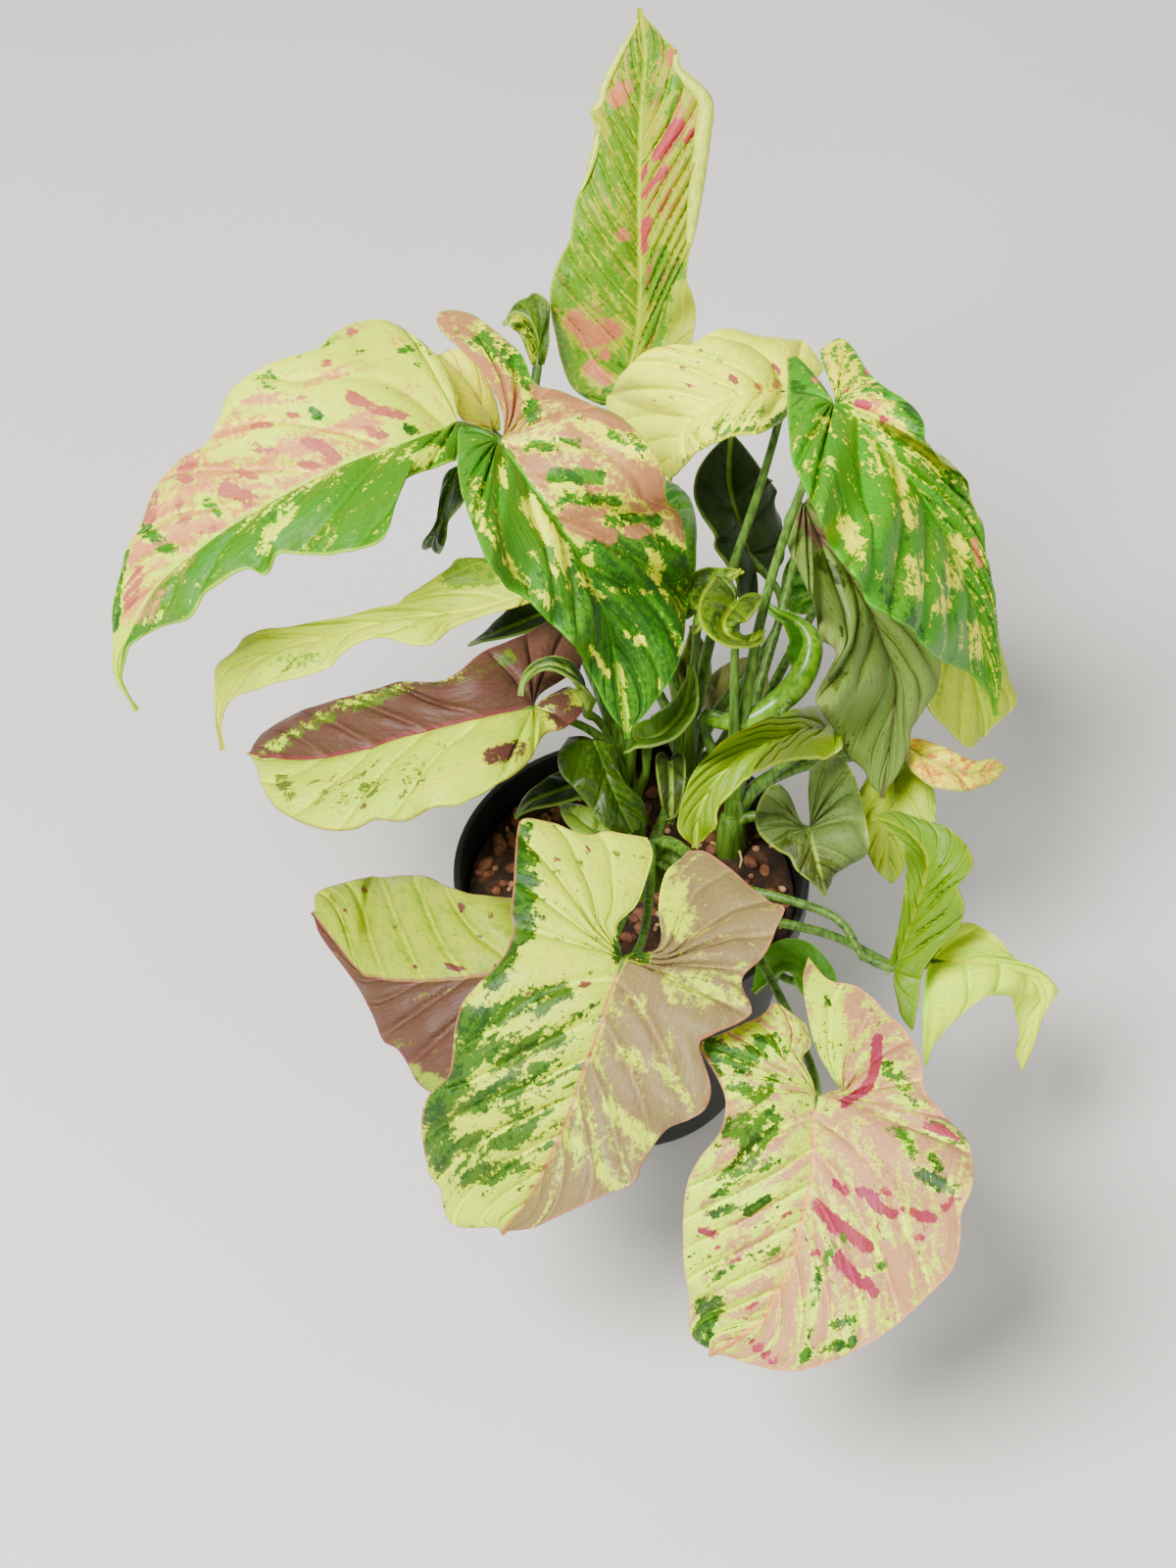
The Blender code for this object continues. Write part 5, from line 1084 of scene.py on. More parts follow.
# Leaf blades of the back shoot
# The tall upright top leaf, the pale arching one and small half-opened ones, on the longest
# stalks. They are made as the left shoot's are.
back_blades = [
    grow_leaf(
        "leaf_top", enters=(0, 0.35, 0.94), fold=(4, 10), lobe=0.08, wave=(1.5, 4, 0.1), veins=16,
        light=(0.85, 0.35), rose=(0.2, 0.15), deep=(0.2, 0.25),
        rolls=[(1, 0.3, 0.84, 2.7), (-1, 0.55, 0.97, 1.3)],
        rib=[(628, 412, 190), (640, 385, 197), (649, 350, 207), (652, 320, 215), (653, 281, 225),
            (652, 233, 237), (652, 180, 250), (654, 112, 266), (658, 60, 278), (653, 8, 289)],
        right=[(636, 408), (655, 396), (680, 382), (703, 362), (709, 323), (706, 300), (700, 282),
            (708, 233), (717, 180), (724, 135), (727, 101), (708, 80), (694, 67), (692, 53),
            (683, 44), (672, 32), (661, 19)],
        left=[(615, 414), (600, 408), (584, 396), (574, 373), (567, 345), (562, 317), (562, 292),
            (570, 267), (582, 241), (586, 210), (595, 185), (603, 157), (607, 129), (602, 114),
            (609, 104), (613, 87), (621, 70), (633, 48), (645, 29)],
        skin=dict(green="#598800", dark="#2d6407", cream="#9baa03", pink="#b97142",
            coral="#ab3a3d", rib="#bdd304", back="#d3d301", lines=1.3),
        marks=[
            ("light", (1, 6, (654, 21), (638, 40), (625, 64), (614, 91), (605, 112), (616, 134)),
             (0.55, 18, (650, 50), (655, 90))),
            ("rose", (0.8, 8, (628, 99), (634, 92))),
            ("deep", (0, 22, (636, 130), (626, 165), (620, 215), (616, 268), (617, 308))),
            ("light", (0.55, 14, (630, 215)), (0.7, 6, (609, 209))),
            ("rose", (0.8, 6, (636, 240))),
            ("light", (0.08, 9, (574, 257), (566, 289), (585, 308)),
             (0.1, 8, (604, 190), (608, 172)), (1, 13, (590, 328), (610, 345), (625, 340))),
            ("rose", (1, 9, (587, 326), (604, 343), (625, 338))),
            ("light", (1, 7, (601, 375), (617, 386))),
            ("rose", (0.9, 6, (601, 375), (617, 386)), (1, 5, (617, 362))),
            ("light", (0.2, 5, (630, 374)), (0.2, 6, (580, 375), (596, 366))),
            ("rose", (0.9, 5, (687, 64), (684, 56))),
            ("light", (0.3, 5, (695, 78), (668, 102)), (0.35, 3, (700, 91), (676, 118)),
             (0.3, 10, (672, 50), (664, 40))),
            ("coral", (1, 5, (692, 126), (671, 158)), (1, 3, (720, 108), (718, 117)),
             (0.9, 3, (708, 134), (700, 145)), (1, 3, (679, 173), (668, 185), (657, 201)),
             (0.8, 2, (660, 166), (656, 185)), (0.9, 4, (661, 225), (657, 241), (656, 255))),
            ("rose", (0.4, 12, (700, 110), (690, 160), (680, 210))),
            ("green", (0.45, 3, (668, 150), (685, 118)), (0.4, 3, (690, 180), (706, 150))),
            ("coral", (0.7, 2, (672, 215), (680, 205)), (0.7, 2, (664, 270), (660, 290))),
            ("light", (0.4, 2, (689, 145), (697, 134)), (0.5, 3, (671, 201)),
             (0.15, 9, (672, 262), (664, 295), (690, 275)),
             (0.15, 8, (679, 300), (665, 348), (672, 330)),
             (1, 8, (697, 295), (702, 343), (690, 372)), (0.6, 6, (664, 380), (690, 360)))]),
    grow_leaf(
        "leaf_arching", enters=(0.2, 0.3, 0.93), fold=(24, -4), lobe=0.2, wave=(1, 3, 0.4),
        veins=9, light=(0.97, 0.9), rose=(0.02, 0.02), deep=(0.2, 0.6),
        rib=[(803, 399, 226), (766, 400, 233), (733, 410, 233), (706, 428, 228), (690, 452, 218),
            (681, 490, 203)],
        right=[(812, 393), (836, 384), (839, 374), (822, 350), (805, 346), (772, 342), (735, 336),
            (707, 350), (688, 352), (665, 356), (645, 370), (628, 392), (619, 412), (628, 432),
            (645, 452), (665, 472)],
        left=[(808, 407), (806, 420), (792, 434), (775, 442), (744, 445), (713, 460), (698, 474),
            (689, 484)],
        skin=dict(green="#55860e", dark="#315b0d", cream="#ebf602", pink="#bc7b35",
            coral="#995546", rib="#f6f604", back="#7e9a11"),
        marks=[
            ("coral", (0.7, 3, (697, 375)), (0.7, 3, (735, 367)), (0.5, 3, (703, 394)),
             (0.5, 2, (750, 372)), (0.5, 2, (680, 392)), (0.5, 2, (770, 360)),
             (0.6, 2.5, (716, 356)), (0.6, 2, (668, 408)), (0.6, 2.5, (728, 392)),
             (0.6, 2, (748, 398)), (0.5, 2, (692, 360)), (0.6, 2.5, (790, 372), (796, 380))),
            ("rose", (0.5, 6, (775, 395), (795, 392))),
            ("coral", (0.7, 2.5, (712, 372)), (0.7, 2.5, (745, 384), (750, 388)),
             (0.6, 2, (685, 405)), (0.6, 2, (722, 378)), (0.5, 1.5, (660, 430)),
             (0.5, 1.5, (705, 420)), (0.5, 1.5, (735, 412))),
            ("green", (0.75, 4, (700, 472), (745, 443), (785, 436), (804, 420)),
             (0.35, 6, (730, 436), (780, 420)))]),
    grow_leaf(
        "leaf_back_inner", fold=(12, 12), wave=(1.5, 3, 0), deep=(0.8, 0.8), right=20, left=19,
        rib=[(764, 566, 158), (752, 528, 172), (744, 490, 184), (746, 440, 192)],
        skin=dict(green="#2e440a", dark="#213606", back="#45560b")),
    grow_leaf(
        "leaf_back_hidden", fold=(10, 10), wave=(2, 3, 0.3), deep=(0.5, 0.5), right=22, left=23,
        rib=[(645, 580, 138), (647, 545, 142), (650, 508, 129), (655, 482, 104)]),
    grow_leaf(
        "leaf_inner_olive", fold=(10, 10), wave=(1, 2, 0), deep=(0.4, 0.4), right=7, left=7,
        rib=[(703, 708, 118), (708, 686, 126), (709, 662, 133), (706, 638, 138)],
        skin=dict(green="#51620e", dark="#3a480a")),
    grow_leaf(
        "leaf_inner_twist", enters=(0.05, 0.1, 0.99), fold=(40, 25), wave=(1, 2, 0), crinkled=2,
        deep=(0.5, 0.5), right=9, left=8,
        rib=[(712, 622, 172), (722, 601, 178), (738, 592, 180), (757, 581, 181)],
        skin=dict(green="#5e8808", dark="#344c09", rib="#bdd31e", back="#88aa0e")),
    grow_leaf(
        "leaf_inner_white", fold=(10, 10), wave=(1, 2, 0), light=(0.97, 0.97), rose=(0.05, 0.2),
        deep=(0, 0), right=14, left=14,
        rib=[(752, 728, 112), (756, 708, 120), (764, 688, 126), (776, 668, 129)],
        skin=dict(green="#54621c", cream="#898d43", pink="#8a604b", rib="#5e6c3d")),
]
grow_shoot("shoot_back", (18, 36), back_blades)

# Leaf blades of the right shoot
# The large upper right leaf and those under it, the yellow-green strap over the middle and small
# ones that hang at the pot's edge.
right_blades = [
    grow_leaf(
        "leaf_right_high", enters=(0.3, 0.2, 0.93), fold=(12, 6), lobe=0.36, wave=(2, 4, 0.3),
        veins=12, light=(0.13, 0.25), rose=(0, 0.05), deep=(0.15, 0.3),
        rib=[(852, 412, 240), (880, 432, 241), (905, 460, 237), (935, 496, 227), (962, 540, 214),
            (985, 590, 198), (1003, 650, 178), (1018, 730, 153)],
        right=[(842, 400), (828, 384), (814, 368), (803, 366), (804, 390), (803, 413), (805, 441),
            (808, 466), (820, 494), (831, 516), (845, 550), (862, 575), (878, 595), (890, 617),
            (909, 629), (932, 643), (946, 662), (965, 676), (991, 688), (1011, 712)],
        left=[(850, 402), (843, 385), (837, 366), (840, 354), (856, 345), (870, 354), (884, 376),
            (904, 396), (912, 401), (932, 415), (943, 432), (944, 449), (949, 455), (963, 471),
            (988, 491), (989, 511), (1002, 533), (1008, 572), (1015, 612), (1019, 657),
            (1022, 690)],
        skin=dict(green="#3f8804", dark="#1f5507", cream="#ebeb04", pink="#d68649",
            coral="#ab3744", rib="#62bd03", back="#354407"),
        marks=[
            ("light", (0.5, 8, (840, 432)), (0.5, 6, (824, 476)), (0.4, 4, (868, 487)),
             (0.66, 9, (866, 536), (876, 560)), (0.4, 6, (850, 471)),
             (0.66, 6, (887, 450), (895, 478)), (0.66, 5, (902, 447), (921, 497), (931, 534)),
             (0.6, 9, (931, 576), (936, 602)), (0.65, 8, (960, 615)),
             (0.66, 8, (978, 557), (973, 596))),
            ("rose", (0.7, 4, (994, 552), (999, 575))),
            ("light", (0.66, 6, (997, 641), (999, 667)), (0.5, 6, (960, 518)),
             (0.66, 6, (929, 458), (957, 476))),
            ("green", (0.95, 10, (905, 600), (935, 645))),
            ("light", (0.66, 14, (853, 361), (868, 395), (908, 432))),
            ("rose", (0.3, 12, (853, 361), (868, 395), (905, 428))),
            ("green", (0.6, 4, (861, 374)), (0.6, 4, (884, 399)), (0.6, 4, (905, 400))),
            ("coral", (1, 4, (876, 412), (886, 414)), (0.7, 3, (863, 398)), (0.6, 4, (902, 427)),
             (0.6, 3, (842, 379)), (0.7, 2.5, (883, 375), (888, 382))),
            ("green", (1, 6, (929, 416), (942, 440))),
            ("rose", (0.7, 4, (832, 387))),
            ("green", (0.9, 6, (808, 380), (815, 410)))]),
    grow_leaf(
        "leaf_right_behind", enters=(0.3, 0.5, 0.8), fold=(8, 8), lobe=0.25, wave=(2, 3, 0),
        veins=8, light=(0.9, 0.9), rose=(0.08, 0.08), deep=(0, 0),
        rib=[(900, 470, 168), (925, 520, 166), (955, 590, 154), (985, 660, 134), (1002, 720, 116),
            (1006, 752, 106)],
        right=[(893, 480), (890, 520), (908, 580), (930, 640), (945, 690), (948, 722), (965, 742),
            (990, 764)],
        left=[(915, 462), (948, 458), (975, 476), (985, 492), (1002, 540), (1012, 600),
            (1020, 650), (1030, 690), (1038, 711), (1033, 724), (1020, 736)],
        skin=dict(green="#6c9806", dark="#54790d", cream="#a7bd03", pink="#875044", rib="#d3f638",
            back="#5f740e")),
    grow_leaf(
        "leaf_right_inner", enters=(0.1, 0.3, 0.95), fold=(8, 8), lobe=0.3, wave=(2, 4, 0.2),
        veins=10, light=(0.92, 0.92), rose=(0.03, 0.03), deep=(0.7, 0.7),
        rib=[(820, 512, 190), (832, 540, 190), (859, 575, 183), (887, 620, 170), (901, 655, 159),
            (914, 690, 148), (912, 730, 136), (900, 815, 112)],
        right=[(812, 510), (806, 518), (800, 530), (801, 545), (808, 567), (820, 592), (831, 617),
            (836, 648), (853, 662), (854, 675), (845, 688), (836, 702), (835, 718), (852, 746),
            (863, 769), (882, 787), (890, 806)],
        left=[(830, 505), (850, 520), (880, 550), (915, 590), (940, 640), (958, 670), (958, 700),
            (941, 727), (930, 745), (927, 765), (916, 790)],
        # Its colours hold painted shade: this pale grey-green leaf lies in the shadow of the large
        # upper right leaf, so its green, cream, pink and rib are given darkened to dull olive and
        # brown.
        skin=dict(green="#4d5f16", dark="#2d410b", cream="#698433", pink="#73593e", rib="#5c4e33",
            back="#45560b"),
        marks=[
            ("green", (0.8, 6, (837, 573), (866, 594)), (0.5, 6, (853, 646)),
             (0.6, 5, (858, 685), (850, 701))),
            ("rose", (0.7, 8, (819, 528), (840, 552))),
            ("green", (0.5, 5, (842, 725), (860, 755)))]),
    grow_leaf(
        "leaf_inner_strap", fold=(30, 20), lobe=0.12, wave=(1, 3, 0), veins=10, crinkled=2,
        deep=(0, 0),
        rib=[(850, 742, 126), (820, 748, 145), (785, 757, 154), (752, 776, 151), (728, 800, 144),
            (713, 830, 134), (709, 866, 120)],
        right=[(852, 730), (835, 720), (811, 724), (787, 732), (762, 742), (738, 756), (726, 768),
            (709, 785), (699, 807), (693, 829), (692, 848)],
        left=[(858, 752), (859, 764), (842, 772), (811, 774), (782, 783), (762, 795), (743, 812),
            (731, 829), (728, 846)],
        skin=dict(green="#799801", dark="#558801", rib="#d3eb04", back="#6c8802", roughness=0.33,
            lines=1.3)),
    grow_leaf(
        "leaf_right_small", fold=(10, 10), lobe=0.5, wave=(1.5, 3, 0.2), veins=8, light=(0.8, 0.8),
        rose=(0.02, 0.02), deep=(0.2, 0.2),
        rib=[(824, 846, 114), (830, 864, 113), (836, 888, 108), (843, 914, 98)],
        right=[(814, 836), (806, 815), (796, 800), (784, 803), (773, 822), (772, 842), (781, 856),
            (794, 867), (806, 874), (813, 888), (827, 899)],
        left=[(826, 838), (824, 812), (826, 785), (842, 772), (861, 775), (875, 800), (884, 840),
            (886, 870), (870, 882), (854, 890), (848, 902)],
        # Its colours hold painted shade: this palish leaf lies in shadow under the leaves above it,
        # so its green, cream and pink are given darkened.
        skin=dict(green="#4a5612", dark="#34430b", cream="#5f7533", pink="#8b6047", rib="#adbf4a",
            lines=1.3),
        marks=[
            ("green", (0.9, 12, (800, 870), (840, 890)))]),
    grow_leaf(
        "leaf_right_hanging", fold=(6, 6), lobe=0.3, wave=(1.5, 3, 0.4), veins=7,
        light=(0.98, 0.98), rose=(0.1, 0.1), deep=(0, 0),
        rib=[(915, 776, 104), (914, 800, 103), (910, 830, 98), (908, 865, 89), (911, 902, 76)],
        right=[(905, 776), (890, 785), (878, 805), (870, 824), (863, 842), (875, 855), (885, 870),
            (893, 886), (903, 897)],
        left=[(925, 776), (945, 785), (953, 805), (954, 837), (940, 855), (926, 872), (923, 888),
            (916, 897)],
        skin=dict(green="#799015", cream="#a1bd14", pink="#86623b")),
    grow_leaf(
        "leaf_right_scroll", fold=(35, 15), lobe=0.15, wave=(1, 2, 0), light=(1, 1),
        rose=(0.45, 0.45), deep=(0, 0),
        rib=[(925, 762, 111), (955, 778, 114), (985, 788, 112), (1008, 786, 108),
            (1026, 781, 104)],
        right=[(920, 768), (930, 785), (955, 802), (980, 806), (1003, 801), (1017, 794)],
        left=[(924, 752), (944, 755), (967, 764), (987, 774), (1000, 776), (1012, 774)],
        skin=dict(green="#929d13", cream="#f6eb04", pink="#d37936")),
    grow_leaf(
        "leaf_inner_loop", enters=(0.5, 0.75, 0.4), fold=(20, 20), lobe=0, wave=(1, 2, 0),
        deep=(0, 0), right=3, left=8,
        via=[(716, 733, 137), (757, 736, 139), (790, 720, 143)],
        rib=[(814, 698, 150), (826, 676, 155), (826, 653, 159), (810, 633, 162), (790, 622, 164),
            (777, 607, 166)],
        skin=dict(green="#377404", dark="#285509", rib="#75aa02", roughness=0.25)),
    grow_leaf(
        "leaf_inner_glossy", enters=(0, 0.2, 0.97), fold=(30, 10), wave=(1, 2, 0), crinkled=2,
        deep=(0.4, 0.4), right=10, left=8,
        rib=[(752, 612, 188), (738, 634, 192), (745, 650, 190), (765, 655, 186), (778, 642, 183)],
        skin=dict(green="#557409", dark="#324c09", rib="#a7bd03", roughness=0.28)),
    grow_leaf(
        "leaf_back_right_hidden", fold=(10, 10), wave=(2, 3, 0.1), deep=(0.5, 0.5), right=22,
        left=22,
        rib=[(862, 600, 130), (880, 568, 134), (905, 530, 122), (925, 508, 98)]),
]
grow_shoot("shoot_right", (32, 17), right_blades)

# Leaf blades of the front shoot
# The two largest front leaves, which droop over the rim, the two-tone one at the left and the
# wavy and low ones at the right.
front_blades = [
    grow_leaf(
        "leaf_front_large", fold=(8, 8), lobe=0.42, wave=(2, 3, 0.3), veins=13, light=(0.9, 0.9),
        rose=(0.0, 0.8), deep=(0.8, 0.2),
        rib=[(636, 980, 154), (622, 1016, 152), (608, 1060, 145), (593, 1099, 137),
            (578, 1143, 127), (558, 1187, 116), (537, 1225, 105), (510, 1258, 95)],
        right=[(632, 962), (630, 946), (649, 928), (660, 899), (666, 873), (660, 855), (637, 851),
            (619, 848), (602, 852), (584, 848), (561, 838), (537, 835), (528, 846), (524, 902),
            (521, 931), (523, 949), (514, 975), (490, 1002), (473, 1022), (464, 1049), (458, 1096),
            (438, 1116), (430, 1143), (432, 1172), (438, 1198), (449, 1213), (452, 1231),
            (464, 1250)],
        left=[(645, 974), (665, 975), (675, 961), (672, 931), (678, 896), (693, 879), (702, 868),
            (722, 870), (746, 887), (766, 905), (787, 920), (801, 927), (792, 946), (781, 972),
            (757, 999), (766, 1025), (763, 1037), (728, 1055), (713, 1066), (725, 1107),
            (719, 1131), (702, 1143), (678, 1154), (655, 1187), (646, 1207), (611, 1222),
            (567, 1242), (531, 1257)],
        # The pink of the rose half is its own colour, darkened to a dull brownish rose as painted
        # shade for that half, which lies in shadow.
        skin=dict(green="#396009", dark="#1b4304", cream="#bdd304", pink="#7e6c40",
            coral="#714132", rib="#bc6d54", back="#5f6c12", lines=1.3),
        marks=[
            ("green", (0.3, 60, (550, 1080), (500, 1170)), (0.75, 12, (536, 880), (533, 950)),
             (0.9, 8, (532, 850), (528, 900), (528, 950), (505, 1000)),
             (0.9, 12, (478, 1040), (465, 1090), (445, 1140)), (0.8, 10, (445, 1150), (445, 1185)),
             (0.7, 9, (490, 1040), (540, 1025), (575, 1012)),
             (0.65, 9, (480, 1080), (530, 1075), (565, 1060)),
             (0.65, 9, (465, 1130), (520, 1110), (548, 1095)),
             (0.7, 8, (470, 1170), (520, 1165), (545, 1140)), (0.6, 8, (480, 1200), (525, 1190)),
             (0.45, 10, (500, 1000), (530, 985))),
            ("light", (1, 8, (630, 965), (620, 896), (602, 864)),
             (1, 14, (480, 1235), (520, 1235))),
            ("coral", (0.9, 3, (567, 876)), (0.8, 2.5, (600, 868)), (0.8, 3, (515, 1005)),
             (0.8, 3, (538, 1014)), (0.9, 4, (596, 1003))),
            ("rose", (0.25, 14, (680, 890), (690, 940)), (0.95, 16, (740, 900), (770, 940)),
             (0.45, 16, (690, 1010), (740, 1010)), (0.5, 8, (640, 1075), (700, 1115)),
             (0.35, 8, (620, 1130), (670, 1170)), (0.35, 8, (590, 1170), (630, 1210))),
            ("green", (0.95, 7, (634, 975), (636, 955), (655, 975))),
            ("coral", (0.35, 1.2, (636, 990), (600, 1080), (560, 1170), (530, 1235)),
             (0.35, 1, (640, 985), (700, 930), (745, 885)),
             (0.35, 1, (640, 990), (710, 985), (770, 960)))]),
    grow_leaf(
        "leaf_front_right", fold=(8, 8), lobe=0.42, wave=(2, 4, 0), veins=15, light=(0.86, 0.84),
        rose=(0.45, 0.62), deep=(0.8, 0.75),
        rib=[(833, 1118, 140), (830, 1154, 140), (830, 1185, 137), (825, 1215, 132),
            (818, 1246, 126), (809, 1283, 118), (796, 1313, 111), (778, 1347, 102),
            (750, 1366, 96), (722, 1381, 90)],
        right=[(828, 1104), (821, 1093), (818, 1084), (827, 1069), (822, 1044), (802, 1029),
            (790, 1023), (778, 1035), (756, 1046), (732, 1056), (720, 1058), (716, 1072),
            (734, 1102), (741, 1124), (735, 1154), (714, 1182), (701, 1209), (697, 1246),
            (698, 1286), (703, 1323), (703, 1356), (711, 1375)],
        left=[(845, 1116), (857, 1114), (851, 1105), (833, 1075), (824, 1041), (819, 1001),
            (825, 977), (845, 1000), (870, 1004), (888, 1016), (903, 1032), (925, 1053),
            (940, 1084), (943, 1111), (962, 1136), (983, 1157), (992, 1182), (992, 1212),
            (981, 1237), (980, 1264), (972, 1295), (946, 1323), (913, 1353), (879, 1375),
            (839, 1393), (802, 1399), (760, 1390), (732, 1383)],
        skin=dict(green="#3c6c08", dark="#1d4304", cream="#cceb02", pink="#ba885a",
            coral="#932e3e", rib="#ee9a63", back="#5f6c12", lines=1.3),
        marks=[
            ("rose", (0.05, 14, (838, 1010), (845, 1060), (842, 1090)),
             (0.1, 8, (706, 1215), (706, 1320))),
            ("green", (0.75, 9, (732, 1070), (760, 1085), (775, 1065)),
             (0.9, 4, (722, 1062), (732, 1095)), (0.7, 10, (750, 1150), (785, 1140), (765, 1180)),
             (0.85, 5, (729, 1241), (746, 1232)), (0.9, 4, (764, 1238), (786, 1222)),
             (0.9, 8, (718, 1335), (730, 1330), (715, 1368)), (0.7, 6, (955, 1150), (982, 1165))),
            ("coral", (0.5, 5, (945, 1145), (975, 1162))),
            ("green", (0.75, 6, (940, 1198), (972, 1215)), (0.6, 4, (850, 1352), (874, 1345)),
             (0.7, 5, (820, 1385), (845, 1375), (870, 1368)), (0.5, 3, (838, 1293), (860, 1325)),
             (0.5, 8, (745, 1195), (735, 1215)), (0.55, 6, (790, 1060), (800, 1075))),
            ("coral", (1, 4.5, (896, 1062), (894, 1090), (886, 1108), (862, 1126)),
             (1, 5, (878, 1215), (892, 1228), (910, 1240)), (0.8, 5, (920, 1234), (952, 1243)),
             (1, 6, (834, 1231), (852, 1250), (886, 1271)),
             (1, 6, (854, 1285), (870, 1300), (893, 1318)), (0.9, 3, (850, 1206), (862, 1215)),
             (0.9, 4, (716, 1256), (727, 1258)), (0.8, 3, (732, 1272)),
             (0.8, 3, (828, 1279), (838, 1279)), (0.7, 5, (768, 1370), (790, 1390)),
             (0.7, 4, (960, 1235), (975, 1222)), (0.6, 3, (770, 1330), (760, 1345))),
            ("light", (1, 6, (745, 1380), (800, 1392))),
            ("green", (0.5, 6, (905, 1090), (925, 1110)),
             (0.55, 7, (745, 1105), (775, 1120), (790, 1100)), (0.55, 6, (735, 1150), (760, 1165)),
             (0.45, 6, (760, 1200), (785, 1185)), (0.5, 6, (725, 1300), (745, 1290)),
             (0.5, 6, (770, 1290), (790, 1275)), (0.5, 5, (905, 1150), (925, 1160), (935, 1180)),
             (0.5, 5, (950, 1180), (965, 1195)), (0.45, 4, (880, 1300), (905, 1290)),
             (0.5, 5, (930, 1130), (945, 1120)), (0.55, 5, (860, 1260), (835, 1300), (825, 1330))),
            ("coral", (0.6, 2.5, (745, 1290), (756, 1284)), (0.6, 2, (770, 1255)),
             (0.6, 2, (800, 1240), (808, 1236)), (0.6, 2.5, (930, 1260), (940, 1264)),
             (0.5, 4, (900, 1215), (925, 1222)), (0.5, 3, (870, 1240), (895, 1255)))]),
    grow_leaf(
        "leaf_front_left", fold=(10, -30), lobe=0.25, wave=(1.5, 3, 0), veins=9,
        light=(0.72, 0.06), rose=(0.03, 0.9), deep=(0.1, 0.1),
        rib=[(560, 985, 126), (520, 990, 130), (466, 998, 127), (438, 1000, 123), (405, 1000, 118),
            (382, 996, 114), (364, 988, 110), (318, 930, 106)],
        right=[(562, 972), (555, 930), (540, 916), (522, 916), (499, 915), (475, 911), (456, 904),
            (438, 895), (416, 892), (394, 895), (369, 895), (338, 904), (322, 912)],
        left=[(560, 998), (555, 1040), (520, 1085), (480, 1110), (445, 1116), (427, 1106),
            (418, 1090), (406, 1071), (391, 1062), (379, 1034), (369, 1014), (355, 993),
            (327, 955)],
        skin=dict(green="#7f980d", dark="#62770f", cream="#98aa04", pink="#563a2a",
            coral="#603529", rib="#843247", back="#5f6c12", lines=1.3),
        marks=[
            ("coral", (0.7, 3, (402, 946)), (0.7, 3, (490, 955)), (0.6, 3, (505, 985)),
             (0.6, 2.5, (440, 920)), (0.6, 3, (350, 930)), (0.6, 3, (425, 985)),
             (0.6, 4, (470, 925)), (0.6, 3, (372, 908)), (0.7, 3, (455, 985), (470, 990)),
             (0.6, 3, (500, 935))),
            ("green", (0.5, 5, (340, 915), (352, 925))),
            ("rose", (0.2, 8, (420, 1095), (445, 1108)))]),
    grow_leaf(
        "leaf_right_wavy", enters=(0.85, -0.5, 0.1), fold=(15, 10), lobe=0.2, wave=(2.5, 4, 0.2),
        veins=12, crinkled=2, deep=(0.05, 0.05),
        via=[(750, 905, 108), (800, 917, 109), (855, 938, 107)],
        rib=[(912, 990, 106), (926, 950, 118), (940, 910, 130), (945, 875, 139), (925, 848, 146),
            (890, 832, 151)],
        right=[(916, 1010), (922, 1035), (931, 1052), (936, 1026), (942, 991), (962, 963),
            (977, 950), (983, 933), (983, 920), (977, 905), (988, 892), (993, 878), (988, 865),
            (977, 852), (962, 842), (940, 836), (912, 827)],
        left=[(905, 996), (905, 985), (911, 970), (919, 933), (923, 902), (925, 881), (919, 863),
            (907, 846), (897, 838)],
        skin=dict(green="#628801", dark="#486209", rib="#95aa03", back="#607706", roughness=0.27,
            lines=1.3)),
    grow_leaf(
        "leaf_right_low", fold=(-10, 12), lobe=0.25, wave=(1.5, 3, 0), veins=8, light=(0.98, 0.95),
        rose=(0.03, 0.1), deep=(0.05, 0.05),
        via=[(760, 930, 106), (850, 955, 104)],
        rib=[(950, 980, 100), (985, 980, 103), (1020, 983, 100), (1050, 996, 93), (1062, 1020, 85),
            (1052, 1060, 74), (1042, 1091, 65)],
        right=[(945, 995), (942, 1030), (941, 1065), (944, 1087), (953, 1067), (966, 1050),
            (985, 1032), (1001, 1018), (1016, 1016), (1031, 1017), (1035, 1032), (1040, 1054),
            (1036, 1075)],
        left=[(950, 972), (955, 964), (968, 957), (977, 945), (990, 941), (1005, 948), (1020, 959),
            (1037, 978), (1059, 989), (1074, 1002), (1080, 1011), (1072, 1024), (1064, 1039),
            (1053, 1070)],
        skin=dict(green="#6c8f16", dark="#4d620f", cream="#d3f604", pink="#f6bd49", rib="#f6f604",
            back="#54730c"),
        marks=[
            ("green", (0.8, 5, (945, 975), (955, 965)))]),
    grow_leaf(
        "leaf_inner_low", enters=(0, 0.2, 0.95), fold=(10, 10), wave=(1, 2, 0), deep=(0.6, 0.6),
        right=5, left=5,
        rib=[(684, 777, 124), (685, 798, 123), (685, 820, 118), (684, 842, 109)],
        skin=dict(green="#34430a", dark="#293507")),
    grow_leaf(
        "leaf_inner_round", fold=(10, 10), wave=(1, 2, 0), light=(0.9, 0.9), rose=(0.05, 0.05),
        deep=(0, 0), right=6, left=6,
        rib=[(613, 852, 117), (600, 842, 120), (586, 830, 120), (572, 818, 117)],
        skin=dict(green="#5f7412", cream="#799b24", pink="#7c5845")),
    grow_leaf(
        "leaf_front_small", enters=(0.4, -0.6, 0.7), fold=(35, 20), wave=(1, 2, 0),
        deep=(0.1, 0.1), right=8, left=7,
        rib=[(828, 1002, 110), (812, 982, 115), (792, 984, 114), (768, 1012, 106)],
        skin=dict(green="#447909", dark="#2f590a", rib="#5d9814", roughness=0.28)),
]
grow_shoot("shoot_front", (5, -1), front_blades)

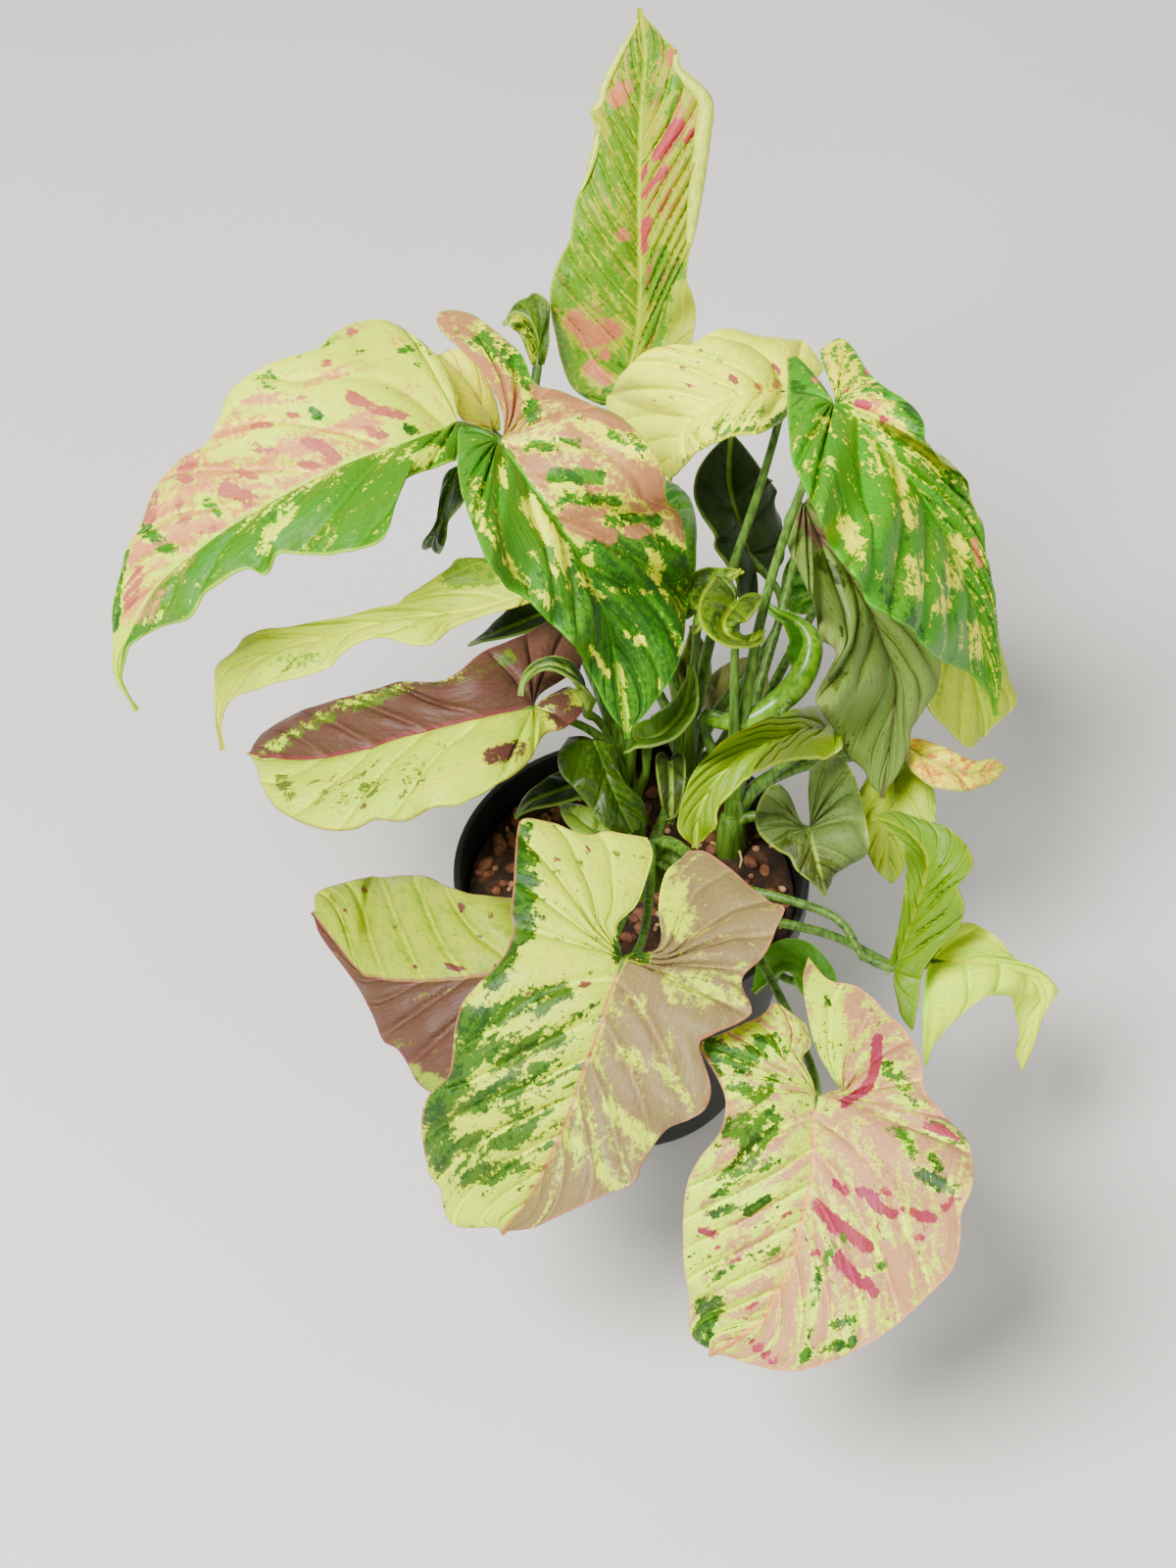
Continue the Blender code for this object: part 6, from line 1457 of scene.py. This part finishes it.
# Rolled leaf
# The bright leaf that loops over the middle is still rolled into a tube round its own stalk and
# rib, as a young leaf is. It is tender and the shiniest thing on the plant.
# Places in the picture, with the height and the tube's radius there in millimetres
ROLL_LINE = [
    (718, 733, 137, 1.8), (738, 736, 138, 2.6), (757, 736, 139, 3.1), (775, 729, 141, 3.5),
    (792, 718, 143.5, 3.8), (806, 706, 147, 4.0), (817, 692, 151, 4.2), (825, 675, 155, 4.2),
    (828, 657, 158.5, 3.8), (822, 643, 161, 3.0), (812, 634, 162.5, 1.8)]
TUBE_STEPS, TUBE_SIDES = 40, 16
tender_skin = juicy_skin("tender rolled leaf skin", "#3f7a0a", "#7fae1c", 0.22)
bm = bmesh.new()
way = Path([at_height(x, y, height) for x, y, height, _ in ROLL_LINE])
widths = [radius * MM for *_, radius in ROLL_LINE]
shares = [k / TUBE_STEPS for k in range(TUBE_STEPS + 1)]
radii = np.interp([share * (len(widths) - 1) for share in shares], range(len(widths)), widths)
tube_into(bm, [way.at(share) for share in shares], radii, TUBE_SIDES)
rolled = add_piece("rolled_leaf", bm, tender_skin)
smooth_shaded(rolled, SOFT_EDGE)
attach(rolled, "root")
